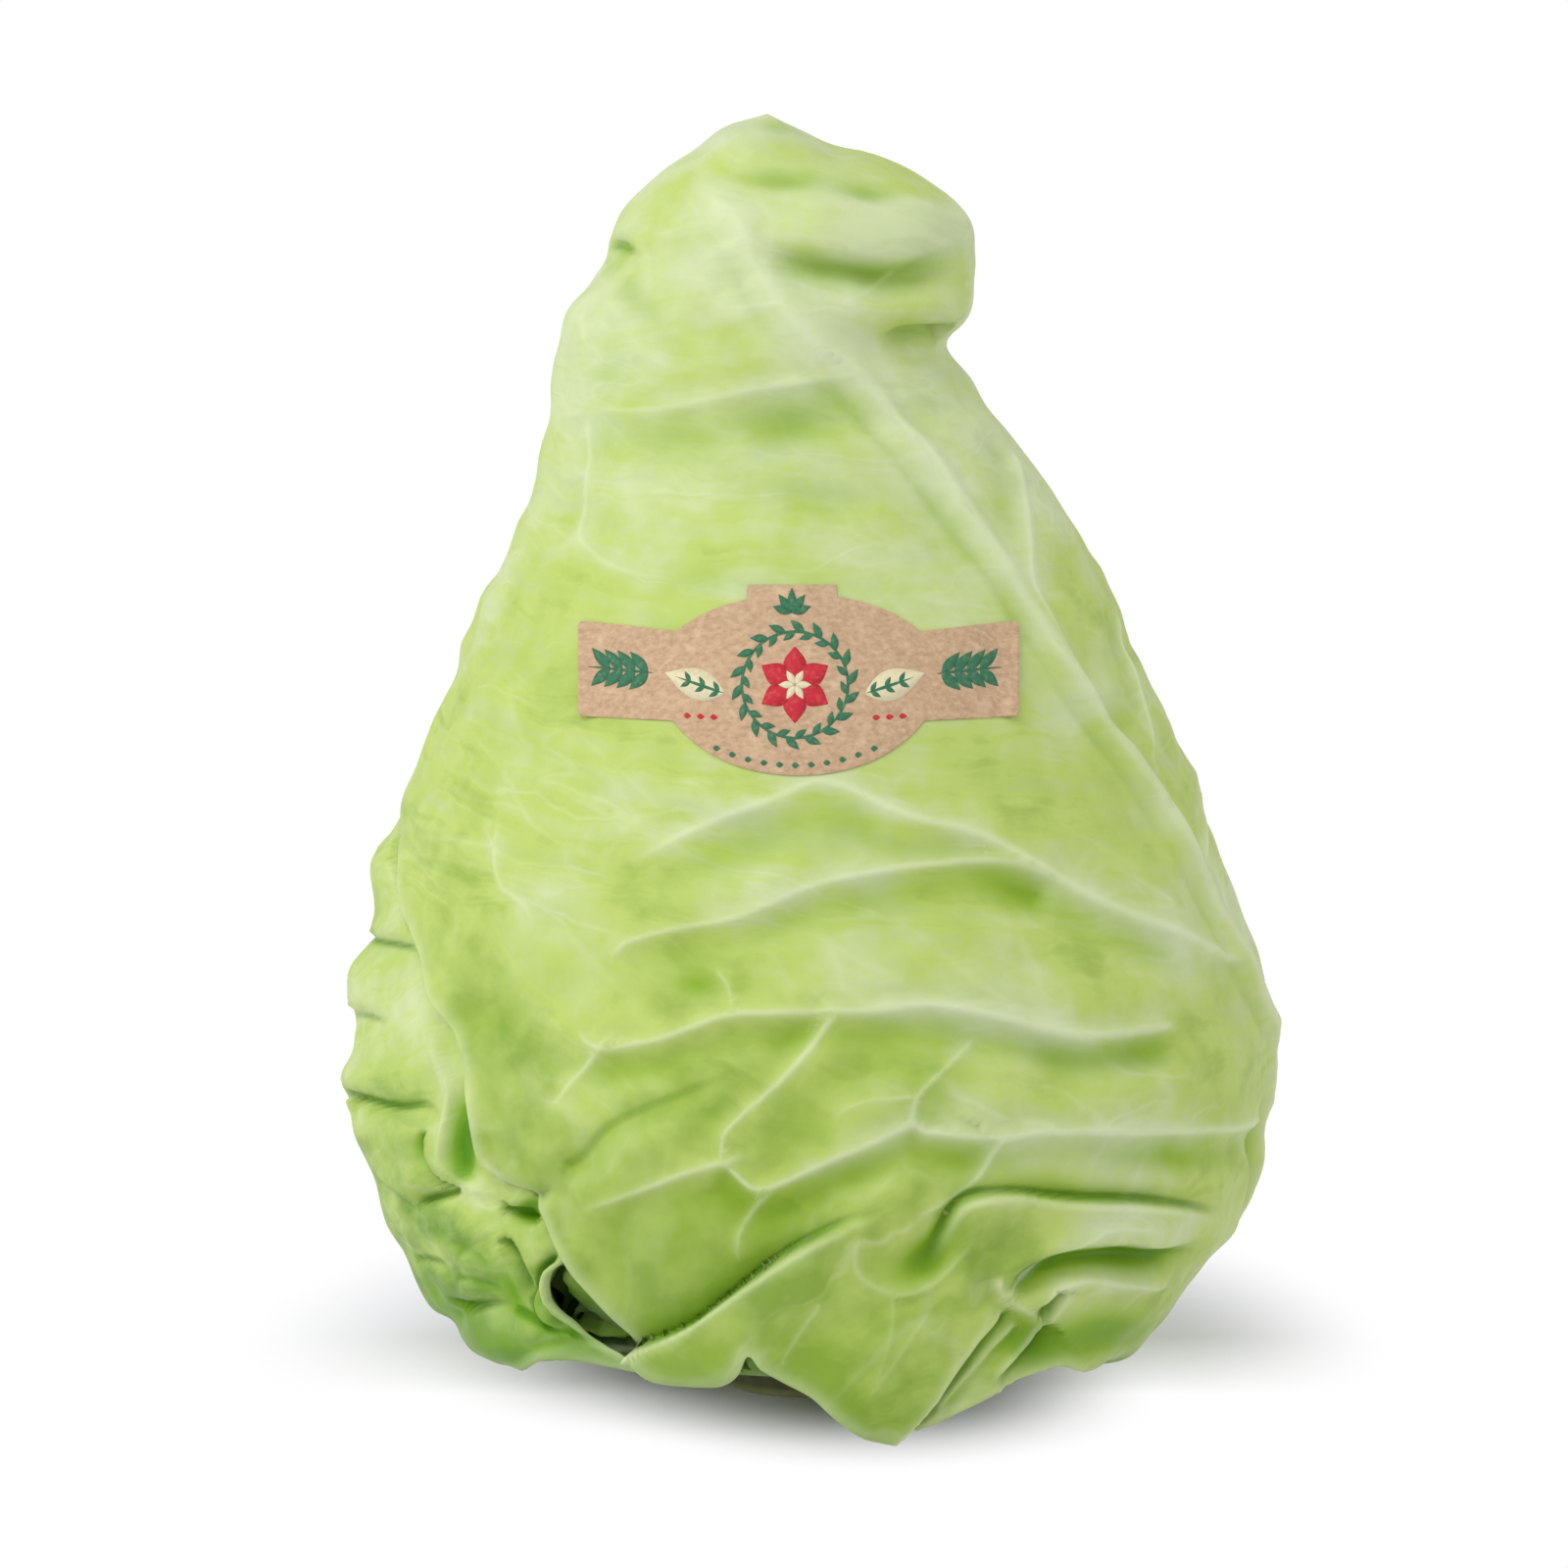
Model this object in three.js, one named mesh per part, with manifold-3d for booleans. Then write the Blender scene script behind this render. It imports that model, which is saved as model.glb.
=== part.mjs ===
// A pointed cabbage that stands on its cut stump, in millimetres, +Z up, front towards -Y.
// Every leaf is a thin shell that follows the shape of the head, one layer inside the other.
import * as THREE from 'three';
import { mergeVertices } from 'three/addons/utils/BufferGeometryUtils.js';
import Module from 'manifold-3d';

const wasm = await Module();
wasm.setup();
const { Manifold, Mesh: SolidMesh } = wasm;

const leafThickness = 0.8;
const leafGap = 0.4;
const layerPitch = leafThickness + leafGap;
const cutterReach = 1.6; // how far an outline's cutter stands out of its layer on both sides
const stumpRadius = 15;
const stumpHeight = 13;
const petioleHalfTurn = 20; // half the turn that a leaf's stalk end takes up on the stump
const labelThickness = 0.4;
const labelGap = 0.3;
const labelMiddle = { x: -1.8, z: 125.5 };
const label = {
  tabHalf: 8.5, tabTop: 16, ovalTop: 13.8, ovalBottom: -15.6, halfOval: 20,
  bandJoin: 19, bandEnd: 36.4, bandHalfJoin: 7.4, bandHalfEnd: 8.8,
};

// The head, ring by ring. h runs from the stump (negative, on the underside) up to the tip.
// left, right, front and back say how far the ring reaches from the stump's axis.
const rings = [
  { h: -40, z: 4, left: 15.5, right: 15.5, front: 15.5, back: 15.5 },
  { h: -22, z: 2, left: 32, right: 32, front: 36, back: 32 },
  { h: -6, z: 0, left: 47, right: 46, front: 60, back: 46 },
  { h: 4, z: 4, left: 55, right: 54, front: 70, back: 54 },
  { h: 16, z: 16, left: 64, right: 62, front: 72, back: 63 },
  { h: 32, z: 32, left: 72, right: 72, front: 74, back: 70 },
  { h: 52, z: 52, left: 77, right: 77, front: 74, back: 74 },
  { h: 74, z: 74, left: 75, right: 74, front: 70, back: 71 },
  { h: 94, z: 94, left: 69, right: 66, front: 64, back: 65 },
  { h: 114, z: 114, left: 61, right: 59, front: 57, back: 58 },
  { h: 134, z: 134, left: 53, right: 50, front: 48, back: 49 },
  { h: 153, z: 153, left: 45, right: 37, front: 38, back: 40 },
  { h: 168, z: 168, left: 42.5, right: 26, front: 31, back: 32 },
  { h: 180, z: 180, left: 39, right: 26, front: 28, back: 28 },
  { h: 192, z: 192, left: 33, right: 28, front: 26, back: 26 },
  { h: 202, z: 203, left: 25, right: 19, front: 19, back: 19 },
  { h: 208, z: 208.5, left: 17, right: 6, front: 11, back: 11 },
  { h: 213, z: 212, left: 7.5, right: -4.5, front: 1.5, back: 1.5 },
];

const gridRows = 19;
const gridColumns = 20;
const lowest = rings[0].h;
const highest = rings[rings.length - 1].h;

function alongRings(h) {
  let i = 0;
  while (i < rings.length - 2 && h > rings[i + 1].h) i += 1;
  const t = (h - rings[i].h) / (rings[i + 1].h - rings[i].h);
  const before = rings[Math.max(i - 1, 0)];
  const after = rings[Math.min(i + 2, rings.length - 1)];
  const value = (key) => {
    const span = rings[i + 1].h - rings[i].h;
    const a = rings[i][key];
    const b = rings[i + 1][key];
    const slopeA = ((b - before[key]) / (rings[i + 1].h - before.h)) * span;
    const slopeB = ((after[key] - a) / (after.h - rings[i].h)) * span;
    const c = 3 * (b - a) - 2 * slopeA - slopeB;
    const d = 2 * (a - b) + slopeA + slopeB;
    return a + t * (slopeA + t * (c + t * d));
  };
  const keys = ['z', 'left', 'right', 'front', 'back'];
  return Object.fromEntries(keys.map((key) => [key, value(key)]));
}

// Turn 0 is the front, 90 the right, 180 the back and -90 the left, in degrees.
function onHead(turn, h) {
  const ring = alongRings(h);
  const angle = THREE.MathUtils.degToRad(turn);
  const x = (ring.right - ring.left) / 2 + ((ring.right + ring.left) / 2) * Math.sin(angle);
  const y = (ring.back - ring.front) / 2 - ((ring.back + ring.front) / 2) * Math.cos(angle);
  return new THREE.Vector3(x, y, ring.z);
}

function headNormal(turn, h) {
  const step = 0.5;
  const inside = THREE.MathUtils.clamp(h, lowest + step, highest - step);
  const around = onHead(turn + step, inside).sub(onHead(turn - step, inside));
  const up = onHead(turn, inside + step).sub(onHead(turn, inside - step));
  return around.cross(up).normalize();
}

// A point at a depth under the outside. Near the tip it stops short of the ring's middle.
function inLayer(turn, h, depth) {
  const point = onHead(turn, h);
  const ring = alongRings(h);
  const middle = new THREE.Vector2((ring.right - ring.left) / 2, (ring.back - ring.front) / 2);
  const inward = headNormal(turn, h).multiplyScalar(-depth);
  const sideways = Math.hypot(inward.x, inward.y);
  const room = Math.hypot(point.x - middle.x, point.y - middle.y) * 0.9;
  const kept = sideways > room ? room / sideways : 1;
  return point.add(new THREE.Vector3(inward.x * kept, inward.y * kept, inward.z));
}

// Turns triangles into one manifold solid.
function solidOf(points, triangles) {
  const solidMesh = new SolidMesh({
    numProp: 3,
    vertProperties: new Float32Array(points.flatMap((p) => [p.x, p.y, p.z])),
    triVerts: new Uint32Array(triangles.flat()),
  });
  solidMesh.merge();
  return new Manifold(solidMesh);
}

// The whole head at a depth under its outside, closed flat at both ends.
function headAt(depth) {
  const points = [];
  const triangles = [];
  for (let row = 0; row <= gridRows; row += 1) {
    const h = THREE.MathUtils.lerp(lowest, highest, row / gridRows);
    for (let column = 0; column < gridColumns; column += 1) {
      points.push(inLayer((360 * column) / gridColumns, h, depth));
    }
  }
  for (let row = 0; row < gridRows; row += 1) {
    for (let column = 0; column < gridColumns; column += 1) {
      const a = row * gridColumns + column;
      const b = row * gridColumns + ((column + 1) % gridColumns);
      triangles.push([a, b, b + gridColumns], [a, b + gridColumns, a + gridColumns]);
    }
  }
  for (const [row, lower] of [[0, true], [gridRows, false]]) {
    const first = row * gridColumns;
    const middle = new THREE.Vector3();
    for (let column = 0; column < gridColumns; column += 1) middle.add(points[first + column]);
    points.push(middle.divideScalar(gridColumns));
    for (let column = 0; column < gridColumns; column += 1) {
      const a = first + column;
      const b = first + ((column + 1) % gridColumns);
      triangles.push(lower ? [b, a, points.length - 1] : [a, b, points.length - 1]);
    }
  }
  return solidOf(points, triangles);
}

// The place on the front that lies at x and height z when the head is seen from the front.
function seen(x, z) {
  const ring = alongRings(z);
  const middle = (ring.right - ring.left) / 2;
  const reach = (ring.right + ring.left) / 2;
  const share = THREE.MathUtils.clamp((x - middle) / reach, -1, 1);
  return [THREE.MathUtils.radToDeg(Math.asin(share)), z];
}

// A line through a few [turn, h] places, as a function of its share along.
function line(places) {
  const curve = new THREE.CatmullRomCurve3(
    places.map(([turn, h]) => new THREE.Vector3(turn, h, 0)), false, 'catmullrom', 0.3);
  return (share) => curve.getPointAt(share);
}

// A sheet between four edge lines, drawn as [turn, h] and made thick enough to cut a layer.
function cutterFor(outline, depth, columns, rows) {
  const [left, right, bottom, top] = ['left', 'right', 'bottom', 'top'].map((side) => line(outline[side]));
  const place = (u, v) => {
    const across = bottom(u).multiplyScalar(1 - v).addScaledVector(top(u), v);
    across.addScaledVector(left(v), 1 - u).addScaledVector(right(v), u);
    across.addScaledVector(bottom(0), -(1 - u) * (1 - v)).addScaledVector(bottom(1), -u * (1 - v));
    return across.addScaledVector(top(0), -(1 - u) * v).addScaledVector(top(1), -u * v);
  };
  const points = [];
  for (const level of [depth - cutterReach, depth + leafThickness + cutterReach]) {
    for (let row = 0; row <= rows; row += 1) {
      for (let column = 0; column <= columns; column += 1) {
        const at = place(column / columns, row / rows);
        points.push(inLayer(at.x, THREE.MathUtils.clamp(at.y, lowest, highest), level));
      }
    }
  }
  const layerSize = points.length / 2;
  const triangles = [];
  for (let row = 0; row < rows; row += 1) {
    for (let column = 0; column < columns; column += 1) {
      const a = row * (columns + 1) + column;
      const b = a + 1;
      const c = b + columns + 1;
      const d = c - 1;
      triangles.push([a, b, c], [a, c, d]);
      triangles.push(...[[a, c, b], [a, d, c]].map((t) => t.map((i) => i + layerSize)));
    }
  }
  const rim = [];
  for (let column = 0; column < columns; column += 1) rim.push(column);
  for (let row = 0; row < rows; row += 1) rim.push(row * (columns + 1) + columns);
  for (let column = columns; column > 0; column -= 1) rim.push(rows * (columns + 1) + column);
  for (let row = rows; row > 0; row -= 1) rim.push(row * (columns + 1));
  rim.forEach((a, i) => {
    const b = rim[(i + 1) % rim.length];
    triangles.push([a, a + layerSize, b + layerSize], [a, b + layerSize, b]);
  });
  return solidOf(points, triangles);
}

// A leaf that grows from the stump at one turn and wraps the head to both sides.
function wrapper({ at, toLeft, toRight, top, lowShare = 0.6 }) {
  const side = (reach) => [
    [at + reach * lowShare, 4], [at + reach * 0.9, 26], [at + reach, 55], [at + reach, 95],
    [at + reach * 0.94, 130], [at + reach * 0.86, 158], [at + reach * 0.7, top - 16],
  ];
  const left = side(-toLeft);
  const right = side(toRight);
  return {
    left,
    right,
    bottom: [left[0], [at - toLeft * 0.35, -18], [at - petioleHalfTurn, lowest],
      [at + petioleHalfTurn, lowest], [at + toRight * 0.35, -18], right[0]],
    top: [left[6], [at - toLeft * 0.4, top - 4], [at, top], [at + toRight * 0.4, top - 4], right[6]],
  };
}

// The front leaf's stalk is on the right. Its free edge runs down the left side, touches the
// surface at the front and goes back under the head.
const frontLeafOutline = {
  left: [seen(-28, 16), seen(-38, 26), seen(-45, 36), seen(-52, 40), seen(-56, 52), seen(-60, 69),
    seen(-66, 80), [-80, 92], [-96, 116], [-114, 144], [-134, 168], [-152, 188], [-168, 204],
    [-172, highest]],
  bottom: [seen(-28, 16), seen(-20, 9), seen(-4, 10), seen(5, 4), seen(12, -2), seen(21, 4),
    seen(30, 10), seen(40, 18), [62, 18], [84, 10], [92, -18], [94, lowest], [130, lowest],
    [136, -16], [150, 6]],
  right: [[150, 6], [168, 30], [178, 60], [182, 95], [180, 130], [177, 160], [175, 188],
    [172, 204], [172, highest]],
  top: [[-172, highest], [0, highest], [172, highest]],
};

// Each leaf grows about two fifths of a turn round from the last. at is its stalk's turn, and
// toLeft and toRight say how far it wraps the head from there.
const wrappers = {
  left: { at: -112, toLeft: 95, toRight: 108, top: 196, lowShare: 0.9 },
  right: { at: 45, toLeft: 70, toRight: 110, top: 194 },
  back: { at: 162, toLeft: 95, toRight: 95, top: 206 },
  innerLeft: { at: -60, toLeft: 100, toRight: 95, top: 198 },
  innerRight: { at: 78, toLeft: 100, toRight: 95, top: 200 },
  innerBack: { at: -145, toLeft: 95, toRight: 95, top: 204 },
  innerFront: { at: -7, toLeft: 95, toRight: 95, top: 206 },
};

// From the outside in.
const leaves = [
  { name: 'front_leaf', colour: 0xc3dc84, outline: frontLeafOutline, columns: 30, rows: 22 },
  { name: 'left_leaf', colour: 0xb2d072, outline: wrapper(wrappers.left) },
  { name: 'right_leaf', colour: 0xb7d478, outline: wrapper(wrappers.right) },
  { name: 'back_leaf', colour: 0xbcd87e, outline: wrapper(wrappers.back) },
  { name: 'inner_left_leaf', colour: 0xc8de90, outline: wrapper(wrappers.innerLeft) },
  { name: 'inner_right_leaf', colour: 0xcce19a, outline: wrapper(wrappers.innerRight) },
  { name: 'inner_back_leaf', colour: 0xd0e4a2, outline: wrapper(wrappers.innerBack) },
  { name: 'inner_front_leaf', colour: 0xd4e6aa, outline: wrapper(wrappers.innerFront) },
];

function materialOf(colour, roughness) {
  return new THREE.MeshStandardMaterial({ color: colour, roughness, metalness: 0 });
}

function meshOf(solid, name, material) {
  const { numProp, vertProperties, triVerts } = solid.getMesh();
  const positions = new Float32Array((vertProperties.length / numProp) * 3);
  for (let i = 0; i < positions.length / 3; i += 1) {
    positions.set(vertProperties.subarray(i * numProp, i * numProp + 3), i * 3);
  }
  const geometry = new THREE.BufferGeometry();
  geometry.setAttribute('position', new THREE.BufferAttribute(positions, 3));
  geometry.setIndex(new THREE.BufferAttribute(new Uint32Array(triVerts), 1));
  const mesh = new THREE.Mesh(geometry, material);
  mesh.name = name;
  return mesh;
}

// Cutting can leave crumbs at an edge, so only the leaf itself is kept.
function largestOf(solid) {
  return solid.decompose().reduce((best, piece) => (piece.volume() > best.volume() ? piece : best));
}

const cabbage = new THREE.Group();

leaves.forEach(({ name, colour, outline, columns = 18, rows = 15 }, layer) => {
  const depth = layer * layerPitch;
  const shell = headAt(depth).subtract(headAt(depth + leafThickness));
  const leaf = largestOf(shell.intersect(cutterFor(outline, depth, columns, rows)));
  cabbage.add(meshOf(leaf, name, materialOf(colour, 0.5)));
});

cabbage.add(meshOf(headAt(leaves.length * layerPitch), 'heart', materialOf(0xe2edbe, 0.5)));

// The stump is cut flat, and the head stands on it.
const stumpGeometry = new THREE.CylinderGeometry(stumpRadius, stumpRadius, stumpHeight, gridColumns);
stumpGeometry.rotateX(Math.PI / 2).translate(0, 0, stumpHeight / 2);
const stump = new THREE.Mesh(stumpGeometry, materialOf(0xe9ecc9, 0.6));
stump.name = 'cut_stump';
cabbage.add(stump);

// A paper sticker: an oval with a small tab on top and a band to each side, wider at its ends.
function labelOutline() {
  const { halfOval, ovalTop, ovalBottom, tabHalf, tabTop } = label;
  const { bandJoin, bandEnd, bandHalfJoin, bandHalfEnd } = label;
  const shape = new THREE.Shape();
  shape.moveTo(-bandEnd, -bandHalfEnd);
  shape.lineTo(-bandJoin, -bandHalfJoin);
  shape.quadraticCurveTo(-halfOval * 0.55, ovalBottom, 0, ovalBottom);
  shape.quadraticCurveTo(halfOval * 0.55, ovalBottom, bandJoin, -bandHalfJoin);
  shape.lineTo(bandEnd, -bandHalfEnd);
  shape.lineTo(bandEnd, bandHalfEnd);
  shape.lineTo(bandJoin, bandHalfJoin);
  shape.quadraticCurveTo(halfOval * 0.7, ovalTop, tabHalf, ovalTop);
  shape.lineTo(tabHalf, tabTop);
  shape.lineTo(-tabHalf, tabTop);
  shape.lineTo(-tabHalf, ovalTop);
  shape.quadraticCurveTo(-halfOval * 0.7, ovalTop, -bandJoin, bandHalfJoin);
  shape.lineTo(-bandEnd, bandHalfEnd);
  shape.closePath();
  return shape;
}

// The sticker is the part of a paper-thin layer on the outside that lies within its outline.
const blockDepth = 80;
const labelBlock = new THREE.ExtrudeGeometry(labelOutline(), {
  depth: blockDepth, bevelEnabled: false, curveSegments: 6,
});
labelBlock.rotateX(Math.PI / 2).translate(labelMiddle.x, 0, labelMiddle.z);
labelBlock.deleteAttribute('normal');
labelBlock.deleteAttribute('uv');
const block = mergeVertices(labelBlock);
const blockSolid = new Manifold(new SolidMesh({
  numProp: 3,
  vertProperties: new Float32Array(block.attributes.position.array),
  triVerts: new Uint32Array(block.index.array),
}));
const paper = headAt(-labelGap - labelThickness).subtract(headAt(-labelGap)).intersect(blockSolid);
cabbage.add(meshOf(paper, 'paper_label', materialOf(0xc39a72, 0.8)));

// The middle of the outside goes on the origin in plan.
const middle = new THREE.Box3().setFromObject(cabbage).getCenter(new THREE.Vector3());
cabbage.position.set(-middle.x, -middle.y, 0);
cabbage.updateMatrixWorld(true);

export default cabbage;
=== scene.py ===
import math

import bmesh
import bpy
import numpy as np
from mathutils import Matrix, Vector
from mathutils.bvhtree import BVHTree
from mathutils.kdtree import KDTree


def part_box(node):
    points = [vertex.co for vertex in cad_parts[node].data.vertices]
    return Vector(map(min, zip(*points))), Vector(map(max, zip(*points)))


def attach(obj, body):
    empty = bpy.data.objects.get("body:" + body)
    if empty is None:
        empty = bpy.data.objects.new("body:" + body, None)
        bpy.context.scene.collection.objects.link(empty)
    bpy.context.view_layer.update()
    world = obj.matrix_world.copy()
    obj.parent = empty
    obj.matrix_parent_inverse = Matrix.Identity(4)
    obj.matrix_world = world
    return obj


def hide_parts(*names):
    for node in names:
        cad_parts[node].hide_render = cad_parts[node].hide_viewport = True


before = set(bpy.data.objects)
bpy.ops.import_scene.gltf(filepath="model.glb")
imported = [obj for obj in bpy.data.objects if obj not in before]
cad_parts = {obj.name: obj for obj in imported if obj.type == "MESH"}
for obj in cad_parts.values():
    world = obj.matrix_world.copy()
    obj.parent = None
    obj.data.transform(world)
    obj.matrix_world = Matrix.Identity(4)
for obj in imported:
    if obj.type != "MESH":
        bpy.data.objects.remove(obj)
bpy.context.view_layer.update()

mm = 0.001
stumpLow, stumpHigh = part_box("cut_stump")
axis = np.array([(stumpLow.x + stumpHigh.x) / 2, (stumpLow.y + stumpHigh.y) / 2, 0]) / mm

# All shapes below are worked out in millimetres round the stump's axis. turn is the angle round
# the head in degrees: 0 is the front, 90 the right, 180 the back and -90 the left. h runs from
# the stump (-40) along the underside and up the side to the tip, and is the height above 4 mm.
head = {
    # h, z, and how far the head reaches to the left, right, front and back
    "rings": [
        (-40, 5, 15.5, 15.5, 15.5, 15.5),
        (-22, 3.6, 32, 32, 42, 32),
        (-6, 1.6, 47, 46, 68, 46),
        (4, 5, 54, 52.5, 72.5, 54),
        (16, 16, 63, 60, 73.5, 62),
        (32, 32, 71.5, 72, 73.5, 70),
        (52, 52, 76, 76, 74, 74),
        (74, 74, 73.5, 74, 70, 71),
        (94, 94, 68.5, 66.5, 64, 65),
        (114, 114, 60, 58, 57, 58),
        (134, 134, 52.3, 49, 48, 49),
        (153, 153, 44.3, 37, 38, 40),
        (166, 166, 42.3, 26.6, 32, 33),
        (173.5, 173.5, 41.2, 22.4, 29.5, 30),
        (180, 180, 38.8, 26.8, 28, 28),
        (188, 188, 33.4, 26.8, 27, 27),
        (195, 195, 30.6, 24, 25, 25),
        (202, 202.5, 23.6, 15.5, 19.5, 19),
        (208, 208.4, 16.2, -0.6, 12, 12),
        (213, 211.2, 7.2, -6.8, 0.25, 0.25),
    ],
    # how much deeper each leaf lies than the one before it, and how far a covered part is pressed in
    "layerPitch": 1.25,
    "pressed": 8.0,
}
ringTable = np.array(head["rings"], float)
lowest, highest = ringTable[0, 0], ringTable[-1, 0]
degreeWide = 1.15  # about how many mm a degree of turn is across, to compare it with h

view = {"elevation": 8.0, "distance": 1700.0, "aim": (-4.2, 0.0, 100.5), "frameWidth": 258.9}
viewTilt = math.radians(view["elevation"])
viewBack = np.array([0, -math.cos(viewTilt), math.sin(viewTilt)])
viewUp = np.array([0, math.sin(viewTilt), math.cos(viewTilt)])
viewAim = np.array(view["aim"])
viewEye = viewAim + viewBack * view["distance"]
aimHeight = viewAim @ viewUp


def ringAt(h):
    # z, left, right, front and back at h, on a smooth curve through the rings
    h = np.clip(np.asarray(h, float), lowest, highest)
    at, values = ringTable[:, 0], ringTable[:, 1:]
    slope = np.gradient(values, at, axis=0)
    i = np.clip(np.searchsorted(at, h, side="right") - 1, 0, len(at) - 2)
    span = (at[i + 1] - at[i])[..., None]
    t = (h - at[i])[..., None] / span
    a, b, sa, sb = values[i], values[i + 1], slope[i] * span, slope[i + 1] * span
    return a + t * (sa + t * ((3 * (b - a) - 2 * sa - sb) + t * (2 * (a - b) + sa + sb)))


def onHead(turn, h):
    ring = ringAt(h)
    angle = np.radians(turn)
    z, left, right, front, back = np.moveaxis(ring, -1, 0)
    x = (right - left) / 2 + (right + left) / 2 * np.sin(angle)
    y = (back - front) / 2 - (back + front) / 2 * np.cos(angle)
    return np.stack([x, y, z], -1)


def unit(v):
    return v / np.maximum(np.linalg.norm(v, axis=-1, keepdims=True), 1e-9)


def headNormal(turn, h):
    inside = np.clip(h, lowest + 0.5, highest - 0.5)
    around = onHead(turn + 0.5, inside) - onHead(turn - 0.5, inside)
    up = onHead(turn, inside + 0.5) - onHead(turn, inside - 0.5)
    return unit(np.cross(around, up))


def inLayer(turn, h, depth):
    # a point under the outside, which near the tip stops short of the ring's middle
    point = onHead(turn, h)
    ring = ringAt(h)
    middle = np.stack([(ring[..., 2] - ring[..., 1]) / 2, (ring[..., 4] - ring[..., 3]) / 2], -1)
    inward = headNormal(turn, h) * -np.asarray(depth)[..., None]
    sideways = np.linalg.norm(inward[..., :2], axis=-1)
    room = np.linalg.norm(point[..., :2] - middle, axis=-1) * 0.9
    kept = np.minimum(1, room / np.maximum(sideways, 1e-9))
    inward[..., :2] *= kept[..., None]
    return point + inward


seenLow, seenHigh = -6.0, 211.0  # the part of h that faces the camera


def seen(x, v):
    # the (turn, h) of the place that lies x to the right and v up when seen by the camera
    through = viewAim + np.array([x - viewAim[0], 0, 0]) + (v - aimHeight) * viewUp
    ray = through - viewEye
    # starts a bit in front of the axis, and closes in on the surface
    y = -50.0
    share = h = 0.0
    for _ in range(24):
        point = viewEye + ray * ((y - viewEye[1]) / ray[1])
        h = min(max(point[2], seenLow), seenHigh)
        _, left, right, front, back = ringAt(h)
        share = min(max((point[0] - (right - left) / 2) / ((right + left) / 2), -1), 1)
        y = (y + (back - front) / 2 - (back + front) / 2 * math.sqrt(1 - share * share)) / 2
    return math.degrees(math.asin(share)), h


def asSeen(points):
    # how far to the right and up the camera sees each point
    rel = points - viewEye
    scale = view["distance"] / -(rel @ viewBack)
    return viewAim[0] + (points[..., 0] - viewAim[0]) * scale, aimHeight + (rel @ viewUp) * scale


def smoothLine(places, count):
    # a Catmull-Rom line through a few places, evenly spaced
    p = np.array(places, float)
    p = np.vstack([2 * p[0] - p[1], p, 2 * p[-1] - p[-2]])
    parts = []
    for i in range(1, len(p) - 2):
        t = np.linspace(0, 1, 24, endpoint=False)[:, None]
        a, b, c, d = p[i - 1 : i + 3]
        bend, twist = 2 * a - 5 * b + 4 * c - d, 3 * b - a - 3 * c + d
        parts.append(0.5 * (2 * b + (c - a) * t + bend * t**2 + twist * t**3))
    fine = np.vstack([*parts, p[-2]])
    run = np.concatenate([[0], np.cumsum(np.linalg.norm(np.diff(fine, axis=0), axis=1))])
    share = np.linspace(0, run[-1], count)
    return np.stack([np.interp(share, run, fine[:, k]) for k in range(fine.shape[1])], -1)


def ripple(points, size, seed, waves=14):
    # smooth seeded noise, mostly between -1 and 1, with lumps about size across
    rng = np.random.default_rng(seed)
    total = np.zeros(points.shape[:-1])
    for _ in range(waves):
        way = unit(rng.normal(size=3))
        turns = 2 * math.pi / (size * rng.uniform(0.8, 1.6))
        total += np.sin(points @ way * turns + rng.uniform(0, 6.3))
    return total / math.sqrt(waves)


traceStep = 0.8  # mm between the points of a line
creaseWidth = 0.75  # mm
farOff = 1e3  # stands for the distance of places that a line doesn't reach
atOnce = 4000  # points to measure at a time, to save memory


class Trace:
    # a line on the head with its own sides: s is how far a point lies to the left of the line's travel
    def __init__(self, places, front=True):
        places = [seen(*p) for p in places] if front else places
        rough = onHead(*np.array(places, float).T)
        length = np.linalg.norm(np.diff(rough, axis=0), axis=1).sum()
        count = max(8, int(length / traceStep))
        turn, h = smoothLine(places, count).T
        self.points = onHead(turn, h)
        self.along = unit(np.gradient(self.points, axis=0))
        self.left = np.cross(headNormal(turn, h), self.along)

    def near(self, points, reach):
        low, high = self.points.min(0) - reach, self.points.max(0) + reach
        chosen = np.nonzero(((points > low) & (points < high)).all(-1))[0]
        side = np.full(len(points), farOff)
        share = np.zeros(len(points))
        past = np.full(len(points), farOff)
        for part in np.array_split(chosen, max(1, len(chosen) // atOnce)):
            if not len(part):
                continue
            gap = points[part][:, None, :] - self.points[None]
            best = np.einsum("ijk,ijk->ij", gap, gap).argmin(1)
            away = gap[np.arange(len(part)), best]
            side[part] = (away * self.left[best]).sum(1)
            ahead = (away * self.along[best]).sum(1)
            last = len(self.points) - 1
            share[part] = best / last
            past[part] = np.where((best == 0) | (best == last), np.abs(ahead), 0)
            far = np.linalg.norm(away, axis=1) > reach * 1.5
            side[part] = np.where(far, farOff, side[part])
        return side, share, past


def bell(s, width):
    return np.exp(-np.minimum((s / width) ** 2, 60))


def smooth(a, b, x):
    t = np.clip((x - a) / (b - a), 0, 1)
    return t * t * (3 - 2 * t)


def stepOf(s, up, upReach, down, downReach, side):
    # a fold's edge: the blade stands up on one side of it and drops sharply on the other; shade is painted
    # as deeper green in the drop
    t = s * side
    share = smooth(-1.2, 0.8, t)
    high = up * np.exp(-np.maximum(t, 0) / upReach)
    low = down * np.exp(np.minimum(t, 0) / downReach)
    return share * high - (1 - share) * low, (1 - share) * np.exp(np.minimum(t, 0) / downReach)


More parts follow.
